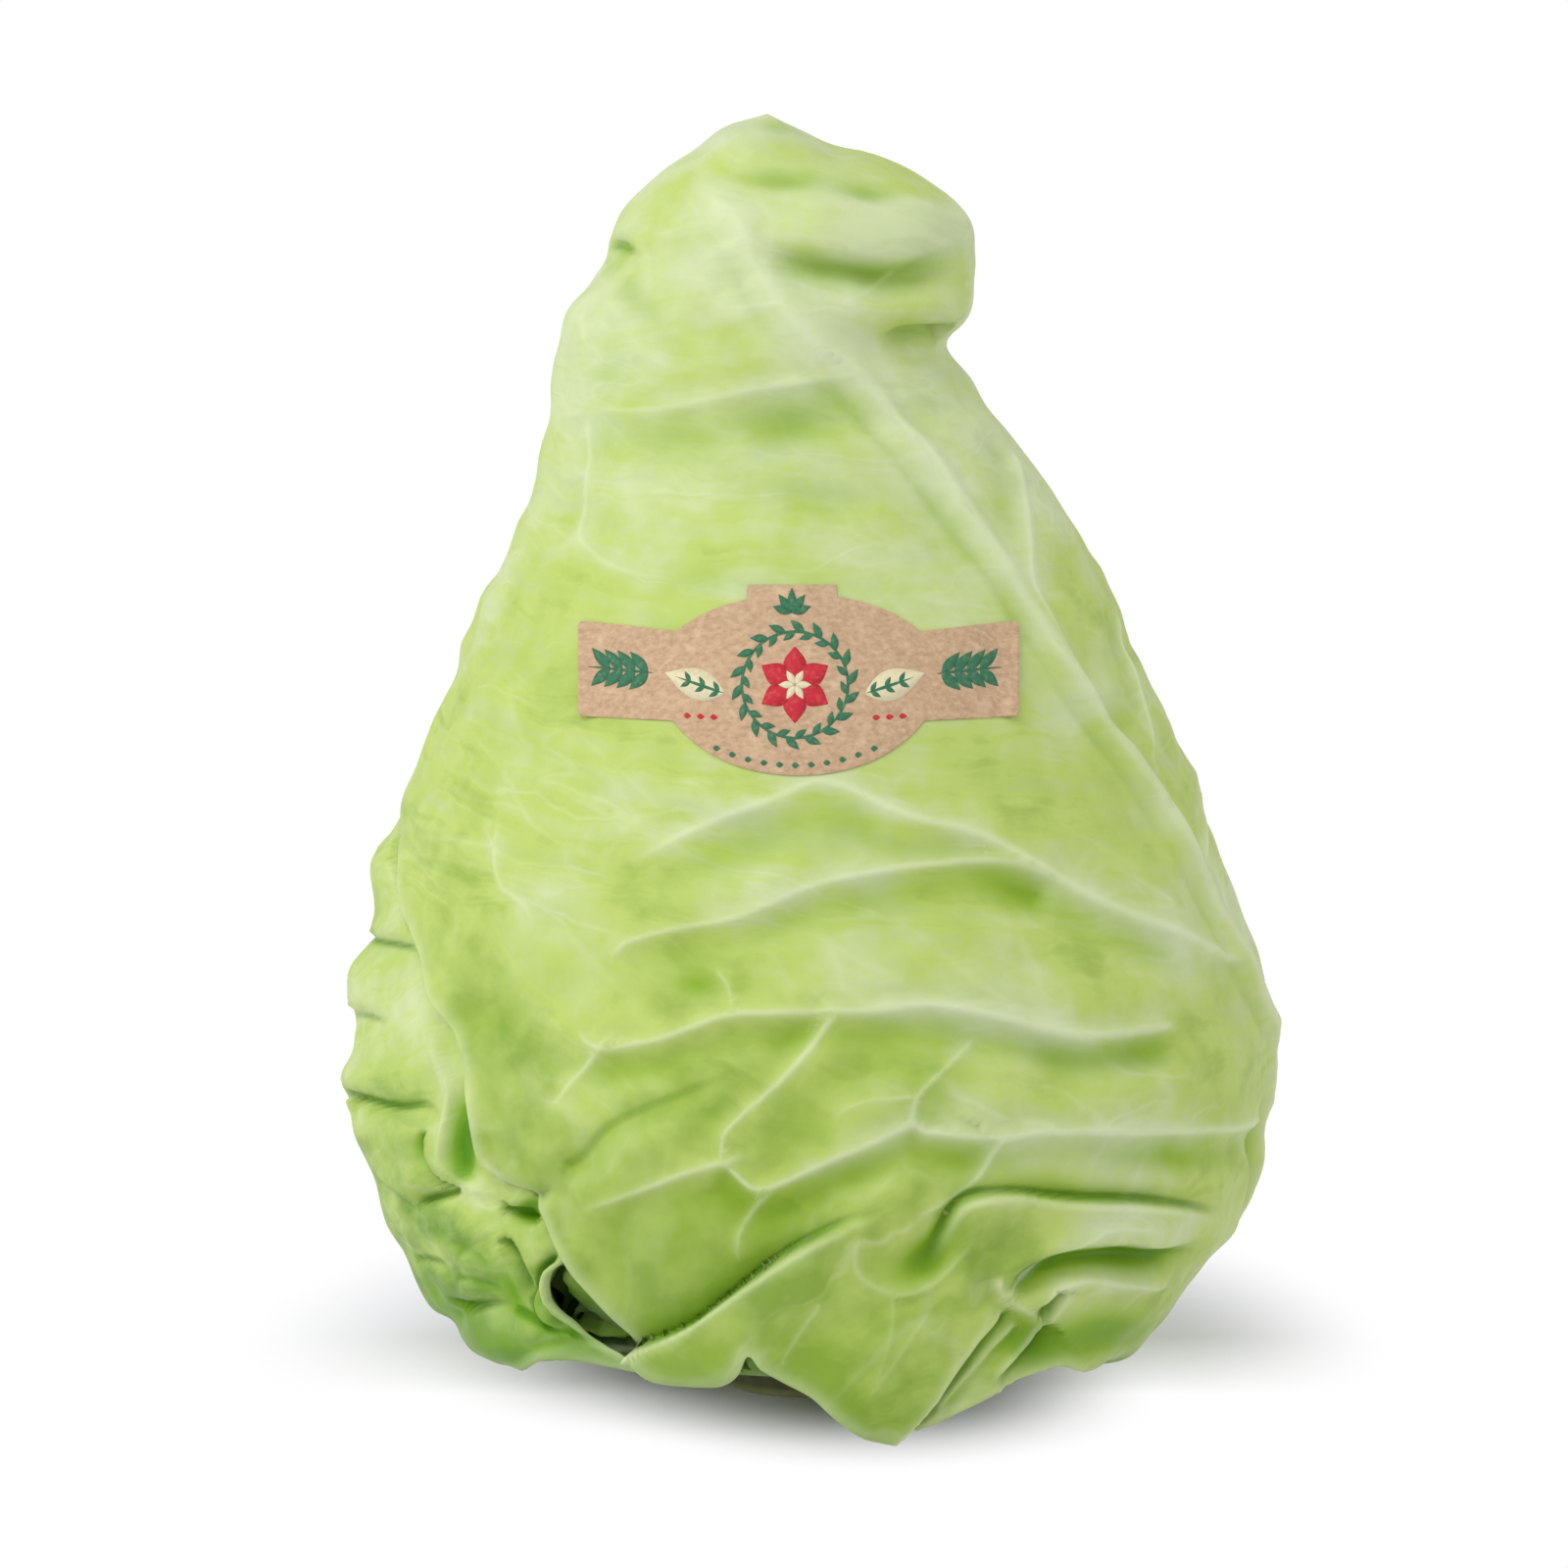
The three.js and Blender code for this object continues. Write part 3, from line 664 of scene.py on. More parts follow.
def frontLines():
    # every vein runs from the midrib towards the edge, so the blade below it is on its left
    return [
        {  # the midrib, between two grooves
            "trace": Trace(front["rib"], front=False),
            "rise": [(2.1, 0, 2.8), (-0.9, 4.4, 1.4), (-0.5, -4.4, 2.0), (-0.35, 0.2, 0.5), (-1.2, 9, 4)],
            "vein": (1.0, 2.7),
            "hollow": (0.5, 4.6, 1.5),
            "ends": (0.0, 0.2),
            "taper": 0.55,
        },
        # side veins, from the tip down
        vein(
            [(12, 167), (2.3, 166.4), (-7.4, 165), (-16.3, 163), (-24.4, 161.5), (-32, 161.2),
             (-40, 163)],
            0.8, 1.0, 1.7, pale=0.5, dipWidth=5.0, ends=(0.2, 0.35),
        ),
        vein([(15.2, 185), (12, 182), (5.5, 178.8), (3.9, 175.6)], 0.3, 0.7, -0.3, pale=0.25),
        vein(
            [(-37, 160), (-37, 149), (-38, 142), (-36, 138), (-31, 135), (-19, 133)],
            0.4, 1.0, 0.3, pale=0.4,
        ),
        vein(
            [(72, 70), (53, 78), (41, 84), (28, 91), (17, 94), (3, 100), (-6, 97), (-19, 92),
             (-28.4, 87.2), (-33, 88)],
            0.9, 1.4, 1.2, pale=1.0, ends=(0.06, 0.12),
        ),
        vein(
            [(41, 84), (31, 87), (17, 86), (9, 84.6), (3.3, 83.5), (-1.8, 81.8), (-7.5, 79.2),
             (-13.1, 77.2), (-18.8, 76.1), (-25.6, 74.7), (-30.1, 73.3), (-32.1, 71.6), (-33.4, 69)],
            0.8, 1.1, 1.3, pale=0.85, dipWidth=3.0, ends=(0.04, 0.06),
        ),
        vein(
            [(62, 60), (47, 58), (39, 59), (31, 61), (20, 63), (10, 62), (3.3, 62), (-4.6, 61.7),
             (-12.8, 61.4), (-18.8, 59.4), (-24.4, 57.4), (-30.1, 56.3), (-34.1, 55.7), (-36.3, 56.6),
             (-37.6, 58), (-38, 60)],
            1.2, 1.2, 1.9, dipWidth=3.0, ends=(0.06, 0.05),
        ),
        vein(
            [(-34.6, 55.7), (-37.7, 52.3), (-40.3, 48.6), (-43.5, 45)],
            0.5, 0.8, 0.5, pale=0.7, ends=(0, 0.4),
        ),
        vein(
            [(-16.2, 69.6), (-13.7, 66.5), (-12.8, 63.1), (-13.1, 61.4)],
            0.3, 0.6, -0.5, pale=0.5, dipWidth=2.0, ends=(0.3, 0.02),
        ),
        vein(
            [(4.6, 61.5), (3.3, 60.3), (-0.1, 55.7), (-4.6, 50.6), (-10.8, 45), (-14, 41.5),
             (-14.4, 37)],
            0.7, 0.9, -0.8, pale=0.8, dipWidth=2.6, ends=(0.04, 0.04),
        ),
        vein(
            [(76, 44), (54, 42), (39, 42), (32, 41), (20, 42), (17, 43), (10, 40), (3, 37), (-6, 33),
             (-10, 33), (-14, 37)],
            1.0, 1.2, 1.2, dipWidth=3.0, ends=(0.05, 0.02), taper=0.1,
        ),
        vein([(-14, 37), (-21, 35), (-29, 32), (-38, 29)], 0.8, 1.0, 0.8, pale=0.7, ends=(0, 0.3)),
        vein([(17, 43), (18, 48), (23, 53), (28, 58)], 0.5, 0.8, -0.6, pale=0.65, ends=(0.02, 0.15)),
        vein([(19, 48), (9, 47), (3, 44)], 0.3, 0.6, 0.3, pale=0.45),
        vein([(-6, 33), (-10, 28), (-12, 24), (-12, 19)], 0.4, 0.8, 0.4, pale=0.55, ends=(0.02, 0.3)),
        vein([(32, 41), (28, 34), (22, 30), (17, 28)], 0.6, 0.9, -0.9, pale=0.7, ends=(0.02, 0.1)),
        vein(
            [(-51, 96), (-51.6, 88), (-50.8, 82.9), (-48.2, 80.6), (-46.2, 77.8), (-45.4, 73)],
            0.4, 0.9, 0.4, pale=0.45, ends=(0.3, 0.3),
        ),
        vein([(-51, 89), (-57, 90), (-63, 91)], 0.3, 0.8, 0.3, pale=0.3),
        vein([(2, 14), (-4, 5), (-5, 2)], 0.25, 0.7, 0.2, pale=0.3),
        vein([(14, 16), (13, 8), (10, -2)], 0.3, 0.7, 0.2, pale=0.2),
        # to the right of the midrib
        vein([(33, 155), (36, 143), (37, 133), (44, 119)], 0.8, 1.3, -1.0, ends=(0.1, 0.2)),
        vein([(51, 128), (56, 111), (57, 102)], 0.6, 1.2, -0.8),
        *sideVeins(front["rib"], (0.05, 0.14, 0.23, 0.33, 0.44), 1, 68, 24, 8),
        # pleats near the foot
        fold(
            [(14, 29), (6.5, 26.4), (-2.8, 20.9), (-14.2, 12.7), (-20.4, 8.5), (-29, 5)],
            2.0, 12, 4.2, 4.2, 1, pull=1.2, ends=(0.35, 0.0), taper=-0.35,
        ),
        fold(
            [(20, 18.5), (22.6, 25), (26.2, 29.9), (33.5, 31), (41.7, 30), (56, 29.4), (68, 28)],
            2.0, 4.5, 3.2, 3.4, -1, pull=0.9, ends=(0.2, 0.3), taper=0.1,
        ),
        groove(
            [(32.5, 15), (37.5, 18.6), (43, 20.8), (50, 21.2), (57, 21), (64, 22.8)],
            [(1.4, 3.2, 2.0), (-3.0, -0.3, 1.7), (1.6, -3.9, 2.0)],
            hollow=(1.5, -0.3, 1.7), cut=(0.9, -0.1), pull=(0.6, 1.2, 1.6), ends=(0.08, 0.3), taper=0.0,
        ),
        vein(
            [(32, 14.5), (36, 17.4), (40.7, 21.6), (45.9, 25), (50, 26.3), (60, 26)],
            0.5, 0.8, 0.2, pale=0.7, ends=(0.05, 0.3),
        ),
        vein(
            [(37.6, 13), (39.4, 16), (42, 17.6), (46, 18.2), (52, 17.4), (60.4, 17)],
            0.6, 0.8, 0.2, pale=0.7, ends=(0.05, 0.3),
        ),
        vein(
            [(31, 18.5), (31.6, 15.6), (35, 13), (39.3, 10.8)],
            0.9, 0.9, -0.8, pale=0.7, dipWidth=1.6, ends=(0.1, 0.1),
        ),
        fold(
            [(42, 16.6), (40.6, 13.6), (38.4, 10.2)],
            1.6, 4.0, 3.0, 1.8, 1, pull=0.7, ends=(0.2, 0.2), taper=0.0,
        ),
        fold(
            [(33.5, 13.4), (29, 8.9), (25.2, 4.6), (20, -2.7), (14.6, -9.5)],
            0.8, 5.0, 3.2, 1.6, -1, pull=0.8, ends=(0.1, 0.0), taper=-0.2,
        ),
        fold(
            [(35.5, 10.5), (31, 6.6), (27, 2.4), (21, -4.6)],
            0.6, 2.0, 1.8, 1.2, -1, pull=0.2, pale=0.4, ends=(0.1, 0.1), taper=0.0, crisp=False,
        ),
        fold(
            [(39.6, 11), (36.4, 7), (32.5, 3.4), (29, 0)],
            0.9, 3.0, 3.4, 4.0, -1, pull=0.0, pale=0.5, ends=(0.1, 0.4), taper=0.0,
        ),
        # small veins that meet the pleats
        vein(
            [(8.6, 27), (7.4, 21), (9.4, 17.4), (14.8, 15.2), (20, 16.6), (24.5, 21), (28, 26)],
            0.8, 0.9, 0.9, pale=0.3, ends=(0.15, 0.25), taper=0.0,
        ),
        vein([(20, 12.7), (13.8, 4.4), (8.6, -3)], 0.3, 0.7, -0.3, pale=0.25),
        groove(
            [(-41, 35.5), (-37.4, 37.5), (-32.2, 43), (-20.2, 48.2), (-9, 52.5)],
            [(-1.3, 0, 2.2), (0.7, -5, 4)],
            hollow=(0.6, 0, 2.4), cut=(0.45, 0.6), ends=(0.05, 0.3),
        ),
        groove(
            [(-51, 32.5), (-45.5, 31.5), (-40, 34)],
            [(-2.6, 0, 1.3), (0.9, 3, 2.2)],
            hollow=(0.9, 0, 1.6), ends=(0.02, 0.6),
        ),
        # the bent tip: a deep soft crease under it and smaller ones at its sides
        groove(
            [(-12, 189), (-6, 186.5), (0, 185), (7, 184), (14, 183.5), (21, 186), (26, 190)],
            [(-3.0, 0, 3.2), (1.8, 8, 6), (0.6, -7, 4)],
            hollow=(0.9, 0.6, 3.6), pull=(-1.2, 4.5, 3), ends=(0.3, 0.45), taper=0.0,
        ),
        groove(
            [(9, 172.5), (15, 173.5), (22.5, 174.5)],
            [(-2.4, 0, 1.8), (0.8, 4, 3)],
            hollow=(0.6, 0, 2.2), ends=(0.5, 0.02), taper=-0.3,
        ),
        groove(
            [(-36, 188.5), (-31.5, 188.6), (-27, 186.8)],
            [(-1.8, 0, 1.1), (0.5, 2.4, 1.8), (0.4, -2.6, 1.8)],
            hollow=(0.9, 0, 1.2), cut=(0.5, 0), ends=(0.3, 0.5),
        ),
        groove(
            [(-31, 183), (-26, 177), (-22, 171), (-14, 167)],
            [(-0.9, 0, 2.0), (0.4, -4, 3)],
            hollow=(0.4, 0, 2.2),
        ),
    ]


# Dents and bulges: x, v, half width, half height and tilt as seen, how far it stands out and, where
# given, how much shade is painted there as deeper green and how much paler the blade is painted,
# partly as painted light.
frontDents = [
    (-4.6, 199.6, 7, 2.2, -4, -1.1, 0.95),
    (9.3, 196.6, 6, 2.2, -8, -1.0, 0.85),
    (-5.8, 208.3, 5, 1.2, -6, -0.3, 0.5),
    (20, 190, 8, 7, 0, 1.6),
    (-1, 160, 11, 3.4, -6, -1.2, 0.2),
    (17, 191, 8, 3.6, 0, 0.5, -0.3, 1.3),
    (25, 196, 3, 5, 30, 0, 0.6),
    (52, 26, 14, 3.6, 0, 0.3, -0.3, 1.0),
    (60, 92, 12, 3, -38, 0, -0.1, 0.4),
    (10, 170, 3, 8, 32, 0, -0.2, 0.9),
    (60, 38, 10, 4, 0, 0.2, 0, 0.4),
    (2, 147, 15, 4, -8, -0.8, 0.4),
    (-33, 186, 3, 2, 30, -0.9, 0.5),
    (22, 143, 5, 12, -35, -0.5, 0.2),
    (0, 132, 20, 4, -8, -0.5, 0.25),
    (28, 168, 4, 5, 0, 1.2),
    (46, 108, 7, 13, -30, -0.6, 0.35),
    (-46, 120, 8, 16, 20, -0.5, 0.2),
    (-52, 62, 8, 8, 0, -0.9, 0.35),
    (-58, 60, 3.4, 3, 20, -1.4, 0.6),
    (-14, 86, 16, 4, 12, -0.8, 0.4),
    (14, 78, 20, 4, 6, -1.0, 0.25),
    (-19.3, 66.5, 2.8, 2.4, 10, -0.5, 0.7),
    (-20, 66, 16, 3.5, 6, -0.8, 0.4),
    (10, 53, 15, 4, 14, -1.2, 0.5),
    (-3, 41, 8, 6, 50, -1.2, 0.5),
    (-28, 45, 12, 6, 15, -0.5, 0.3),
    (-25, 24, 12, 7, 20, -0.4, 0.45),
    (4, 32, 13, 4, 26, -1.1, 0.45),
    (6, 8, 12, 6, 10, -0.3, 0.4),
    (-16, 5, 9, 4, 20, -0.6, 0.5),
    (50, 36, 14, 3.4, 2, -0.3, -0.1, 1.0),
    (36, 38, 6, 3, 0, 0, -0.2, 0.7),
    (19.5, 20.5, 4.2, 3.2, 30, -1.8, 1.1),
    (23.6, 26.5, 2.4, 5.5, -28, -1.2, 0.9),
    (48, 30.5, 9, 1.6, 0, -0.4, 0.5),
    (51, 13, 10, 5, 10, 1.6, -0.1),
    (50, 10.5, 9, 3.6, 10, 0, 0.65),
    (-40, 26, 6, 8, -30, 0.8),
    (-20, 4, 8, 4, 0, 1.4),
    (10, 2, 7, 8, 0, 1.0),
    (75, 83, 8, 9, 0, -2.6),
    (50, 145, 9, 6, 0, -1.6),
    (56, 122, 6, 7, 0, -1.0),
    (36, 160, 5, 4, 0, 1.2),
    (79, 43, 7, 6, 0, -2.0),
    (72, 25, 6, 5, 0, 1.4),
    (-19, 206, 5, 3, 30, -1.6),
    (4, 206.5, 4, 3, -30, -1.6),
    (46, 8, 12, 4.5, 8, 0, 1.0),
    (36, 6.5, 4, 3.5, 0, -0.5, 1.0),
    (8, -2, 7, 5, -20, 0, 0.5),
    (-30, 35, 9, 5, 20, 0, 0.45),
    (20, 50, 5, 4, 0, 0, 0.45, -0.8),
    (67, 76, 6, 12, -12, 0, -0.3, 1.5),
    (72, 58, 5, 8, 0, 0, -0.1, 0.7),
    (50, 66, 12, 4, 0, 0, -0.2, 0.5),
    (46, 112, 4, 9, -36, 0, -0.2, 0.7),
    (-34, 168, 6, 7, 0, 0, 0.35, -0.9),
    (-30, 180, 6, 5, 0, 0, 0.2, -0.4),
    (20, 161, 5, 6, 30, 0, 0.3, -0.5),
    (-50, 104, 7, 11, 10, 0, 0.25, -0.6),
    (62, 37, 8, 2, 0, 0, 0.3, -0.8),
    (4, 172, 3, 6, 34, 0, -0.2, 0.8),
    (17, 190, 9, 4, 0, 0, -0.2, 0.9),
    (61, 106, 5, 8, -30, 0, 0.15, -0.5),
    (-20, 180, 8, 5, -20, 0, 0, 0.35),
]


# The paper label stuck on the front leaf: a rounded middle with a tab on top and a band at each
# side, with a generic print. Its middle is at x and v as seen and at the height z. Places on it are
# mm to the right and up from there.
label = {
    "x": -1.8,
    "v": 116.8,
    "z": 125.5,
    "tabAt": -1.1,
    "tabHalf": 7.4,
    "tabTop": 15.6,
    "ovalTop": 14.2,
    "ovalBottom": -15.8,
    "halfOval": 23.5,
    "bandHalfJoin": 7.3,
    "bandHalfEnd": 7.8,
    "bandEnd": 36.4,
    "endRise": 2.1,
    "corner": 0.6,
    "thick": 0.16,
    "columns": 180,
    "rows": 60,
}


def flatUnderLabel(points):
    # the leaf lies smoother where the label holds it
    x = (points[..., 0] - label["x"]) / (label["bandEnd"] + 2)
    z = (points[..., 2] - label["z"]) / (3 - label["ovalBottom"])
    return 1 - 0.75 * smooth(1.25, 0.8, np.sqrt(x**4 + z**4) ** 0.5) * smooth(0, -20, points[..., 1])


def grainOf(turn, h, midrib, slopes):
    # how the fibres run over a leaf: how far from the midrib a place is, and which fibre it is on
    rib = smoothLine(midrib, 80)
    ring = ringAt(h)
    radius = (ring[..., 1] + ring[..., 2] + ring[..., 3] + ring[..., 4]) / 4
    arc = np.radians(turn - np.interp(h, rib[:, 1], rib[:, 0])) * radius
    lean = np.interp(h, *slopes)
    return arc, h + lean * np.abs(arc)


def pitOf(turn, h):
    # the deep hollow between the rolled edge of the left leaf and the front leaf, where the leaves
    # underneath are also painted nearly black as shade
    return bell(turn + 40, 12) * smooth(31, 18, h) * smooth(-6, 6, h)


def flapOver(turn):
    # 1 where the folded foot of the front leaf hangs
    return smooth(-44, -30, turn) * smooth(44, 28, turn)


def roomUnder(turn, h, besideRoll):
    # the leaves underneath leave room behind the flap and beside the rolled edge
    behindFlap = flapOver(turn) * smooth(26, 6, h) * smooth(-14, 8, h)
    return 10 * behindFlap + besideRoll * pitOf(turn, h)


def layingDepth(turn, h, layer, cover):
    # how far under the head's outside a leaf lies; leaves lie closer together at the back, where
    # the ones above are not folded
    pitch = head["layerPitch"] * (1 - 0.5 * smooth(140, 195, h))
    pressed = head["pressed"] * (1 - 0.75 * smooth(-0.1, -0.8, np.cos(np.radians(turn))))
    pressed = pressed * cover * smooth(-14, 8, h)
    depth = layer * pitch + pressed * (1 + 0.5 * smooth(45, 25, h)) * (1 - 0.4 * smooth(140, 190, h))
    if layer > 1:
        depth += roomUnder(turn, h, 4 if layer == 2 else 7)
    if layer == 0:
        # one of its back edges lies over the other near the tip
        depth -= 1.1 * smooth(172, 184, turn) * smooth(165, 190, h) * smooth(212, 203, h)
    return depth


def underside(base, h):
    # how much higher the underside runs than the rings say, most of all towards the front
    return smooth(16, -8, h) * (3.5 + 0.13 * np.maximum(-base[..., 1], 0))


def puckerOf(base, arc, across, seed):
    # the blade puckers between its veins, in lumps and along its fibres
    fibre = np.stack([np.abs(arc) * 0.12, across, np.sign(arc) * 40], -1)
    pucker = 0.32 * ripple(base, 17, seed) + 0.16 * ripple(base, 7.5, seed + 1)
    return pucker + 0.26 * ripple(fibre, 9, seed + 2) + 0.10 * ripple(fibre, 4, seed + 3)


def rollUp(roll, base, toEdge):
    # part of an edge rolled up into a cord: how far it stands out, and how much shade is painted as
    # deeper green in the hollow beside it
    x, v = asSeen(base)
    atX, atV, amount = roll
    here = bell(x - atX, 6) * bell(v - atV, 7.5) * smooth(20, -6, base[..., 1])
    rise = amount * here * (bell(toEdge - 0.8, 0.7) - 0.8 * bell(toEdge - 2.6, 0.9))
    return rise, here * (0.3 * bell(toEdge, 2.0) + 1.8 * bell(toEdge - 2.2, 0.7))


def toneAndShadeOf(turn, h, leaf, layer):
    # how light the blade is: darker low down and paler up high, as painted shade and light; the front
    # leaf is paler again right of the flap, and darker on its left, as painted shade, and in a patch
    # on its right
    toneAndShade = np.interp(h, *leaf["lightAndShadeByHeight"])
    if layer == 0:
        toneAndShade += 0.9 * smooth(22, 42, turn) * smooth(60, 25, h) * smooth(-4, 14, h)
        toneAndShade -= 0.3 * smooth(-8, -42, turn) * smooth(150, 105, h)
        toneAndShade -= 0.3 * smooth(46, 62, turn) * smooth(66, 88, h) * smooth(145, 120, h)
    return toneAndShade


def shapeLeaf(name, outline, layer, leaf, lines, dents, seed, leavesOver=()):
    turn, h = sheetOver(outline, leaf["columns"], leaf["rows"], leaf.get("crowd"))
    cover = np.zeros(turn.shape)
    for other in leavesOver:
        cover = np.maximum(cover, coverOf(turn, h, other, 7.0))
    base = inLayer(turn, h, layingDepth(turn, h, layer, cover))
    base[..., 2] += underside(base, h) * (1 if layer else 1 - flapOver(turn))
    base[..., 2] += 2 * bell(turn - 58, 14) * smooth(18, 0, h)
    if layer == 1:
        base[..., 2] -= 1.6 * bell(turn + 46, 9) * smooth(18, 6, h)
    if layer > 1:
        base[..., 2] += 4 * smooth(16, -8, h)
    relief = reliefOf(base, lines, dents)
    row, column = edgeOf(*(n - 1 for n in turn.shape)).T
    toEdge = awayFrom(base, base[row, column])
    free = 1 - cover
    high = smooth(205, 190, h)
    calm = flatUnderLabel(base) if layer == 0 else np.ones(turn.shape)
    arc, across = grainOf(turn, h, leaf["rib"], leaf["slopes"])
    pucker = puckerOf(base, arc, across, seed) * leaf.get("pucker", 1.0)
    ruffle = ripple(base, leaf["ruffleSize"], seed + 5)
    rise = relief["rise"] * calm + pucker * high * calm * (0.3 + 0.7 * free)
    rise += bell(toEdge, leaf["curlReach"]) * (leaf["lift"] + leaf["ruffle"] * ruffle) * high * free
    if "roll" in leaf:
        rolled, besideIt = rollUp(leaf["roll"], base, toEdge)
        rise += rolled
        relief["hollow"] += besideIt
    shape = base + headNormal(turn, h) * rise[..., None] + relief["pull"] * calm[..., None]
    shape[..., 2] = np.maximum(shape[..., 2], 0.15 + 0.1 * np.abs(ruffle))
    # thinner at its edge and where the head is narrow
    headWidth = ringAt(h)[..., 1:3].sum(-1)
    thick = (0.45 + 0.5 * smooth(0, 12, toEdge)) * (smooth(0, 24, headWidth) * 0.8 + 0.2)
    # painted shade: deeper green where the blade puckers in, and nearly black on the leaves under the deep
    # hollow beside the rolled edge
    hollow = relief["hollow"] - pucker * 0.25 + (2.4 * pitOf(turn, h) if layer > 1 else 0)
    values = {
        "vein": np.clip(relief["vein"], 0, 1),
        **{key: relief[key] for key in ("veinSide", "veinNear", "creaseSide", "creaseNear")},
        "paleAndHighlight": np.clip(relief["paleAndHighlight"], 0, 1),
        "hollow": np.clip(hollow, -0.6, 2.2),
        "edge": bell(toEdge, 1.6),
        "toneAndShade": toneAndShadeOf(turn, h, leaf, layer),
        "fibre": np.stack([np.abs(arc), across, np.sign(arc) * 50], -1) * mm,
    }
    return leafMesh(name, shape, thick, values)


def linearColour(text):
    # an sRGB hex value as the linear colour that shaders take
    parts = [int(text[i : i + 2], 16) / 255 for i in (1, 3, 5)]
    return [*(c / 12.92 if c <= 0.04045 else ((c + 0.055) / 1.055) ** 2.4 for c in parts), 1.0]


def addNode(tree, kind, inputs=(), stops=(), **settings):
    # a node with its settings; its inputs, by place or by name, are values or what to link to them,
    # and stops are the places and colours of a ramp
    node = tree.nodes.new("ShaderNode" + kind)
    for key, value in settings.items():
        setattr(node, key, value)
    for key, value in inputs.items() if isinstance(inputs, dict) else enumerate(inputs):
        if isinstance(value, bpy.types.Node):
            value = value.outputs[0]
        if isinstance(value, bpy.types.NodeSocket):
            tree.links.new(value, node.inputs[key])
        else:
            node.inputs[key].default_value = value
    for number, (at, colour) in enumerate(stops):
        node.color_ramp.elements[number].position = at
        node.color_ramp.elements[number].color = linearColour(colour)
    return node


def newMaterial(name):
    material = bpy.data.materials.new(name)
    material.use_nodes = True
    tree = material.node_tree
    tree.nodes.clear()
    return material, tree


def leafTissue(name, look):
    # Cabbage leaf, grown: a thin waxy blade with pale ribs and faint streaks along its fibres, with
    # shade painted as deeper green in its hollows and creases, painted shade and light from low down
    # to up high, and pale halos that are partly a painted highlight. It reads as fresh and slightly
    # see-through.
    material, tree = newMaterial(name)
    place = addNode(tree, "TexCoord").outputs["Object"]
    fibre = addNode(tree, "Attribute", attribute_name="fibre").outputs["Vector"]
    masks = {}
    lineKeys = ("veinSide", "veinNear", "creaseSide", "creaseNear")
    for key in ("toneAndShade", "paleAndHighlight", "hollow", "edge", "vein", *lineKeys):
        masks[key] = addNode(tree, "Attribute", attribute_name=key).outputs["Fac"]
    # thin lines with crisp sides along the veins and creases; widths in line widths. The crease lines
    # are painted dark as shade
    lines = {}
    for key, full, none in (("vein", 0.0, 1.5), ("crease", 0.3, 1.8)):
        away = addNode(tree, "Math", (masks[key + "Side"],), operation="ABSOLUTE")
        inside = addNode(tree, "MapRange", (away, full, none, 1.0, 0.0), interpolation_type="SMOOTHSTEP")
        lines[key] = addNode(tree, "Math", (inside, masks[key + "Near"]), operation="MULTIPLY")
    thin = addNode(tree, "Math", (lines["vein"], 0.62), operation="MULTIPLY")
    broad = addNode(tree, "Math", (masks["vein"], 0.5), operation="MULTIPLY")
    veins = addNode(tree, "Math", (thin, broad), operation="MAXIMUM")
    shadedCreases = lines["crease"]
    wander = addNode(tree, "TexNoise", {"Vector": place, "Scale": 1 / 0.012, "Detail": 2}).outputs["Color"]
    bent = addNode(tree, "VectorMath", (wander, (0.009, 0.006, 0.0), fibre), operation="MULTIPLY_ADD")
    # the blade changes tone in patches about 28 mm across, in streaks 30 mm long and 5 mm wide, and
    # in a mottle of 6.5 mm
    patches = {"Vector": place, "Scale": 1 / 0.028, "Detail": 3, "Roughness": 0.55}
    patches = addNode(tree, "TexNoise", patches)
    longways = addNode(tree, "Mapping", {"Vector": bent, "Scale": (1 / 0.03, 1 / 0.005, 1.0)})
    streaks = addNode(tree, "TexNoise", {"Vector": longways, "Scale": 1.0, "Detail": 4, "Roughness": 0.6})
    mottle = addNode(tree, "TexNoise", {"Vector": place, "Scale": 1 / 0.0065, "Detail": 3, "Roughness": 0.6})
    # paler starts from the painted light and shade of the blade's height and side
    paler = masks["toneAndShade"]
    for part, low, high, atLow, atHigh in (
        (patches, 0.36, 0.64, -0.15, 0.75),
        (streaks, 0.35, 0.65, -0.3, 0.3),
        (mottle, 0.3, 0.7, -0.2, 0.2),
        (masks["paleAndHighlight"], 0.0, 1.0, 0.0, 0.7),
    ):
        part = addNode(tree, "MapRange", (part, low, high, atLow, atHigh))
        paler = addNode(tree, "Math", (part, paler), operation="ADD")
    # painted shade: how much of the deeper green of the hollows shows
    inShadedHollow = (masks["hollow"], 0, 1.3, 0, 0.95)
    inShadedHollow = addNode(tree, "MapRange", inShadedHollow, interpolation_type="SMOOTHSTEP")
    # veinlets: thin forking lines along the fibres, about 7 mm apart, tied by a net with 12 mm meshes
    fineRun = addNode(tree, "Mapping", {"Vector": bent, "Scale": (1 / 0.045, 1 / 0.013, 1.0)})
    fineNoise = addNode(tree, "TexNoise", {"Vector": fineRun, "Scale": 1.0, "Detail": 2, "Roughness": 0.45})
    fromMiddle = addNode(tree, "Math", (fineNoise, 0.5), operation="SUBTRACT")
    fromMiddle = addNode(tree, "Math", (fromMiddle,), operation="ABSOLUTE")
    forks = addNode(tree, "MapRange", (fromMiddle, 0.0, 0.028, 0.8, 0))
    netRun = addNode(tree, "Mapping", {"Vector": bent, "Scale": (1 / 0.016, 1 / 0.010, 1.0)})
    net = addNode(tree, "TexVoronoi", {"Vector": netRun, "Scale": 1.0}, feature="DISTANCE_TO_EDGE")
    net = addNode(tree, "MapRange", (net, 0.0, 0.085, 0.5, 0))
    veinlets = addNode(tree, "Math", (forks, net), operation="MAXIMUM")
    inPatches = addNode(tree, "MapRange", (patches, 0.4, 0.62, 0.1, 1))
    offShadedHollow = addNode(tree, "Math", (1.0, inShadedHollow), operation="SUBTRACT")
    for share in (inPatches, offShadedHollow):
        veinlets = addNode(tree, "Math", (veinlets, share), operation="MULTIPLY")
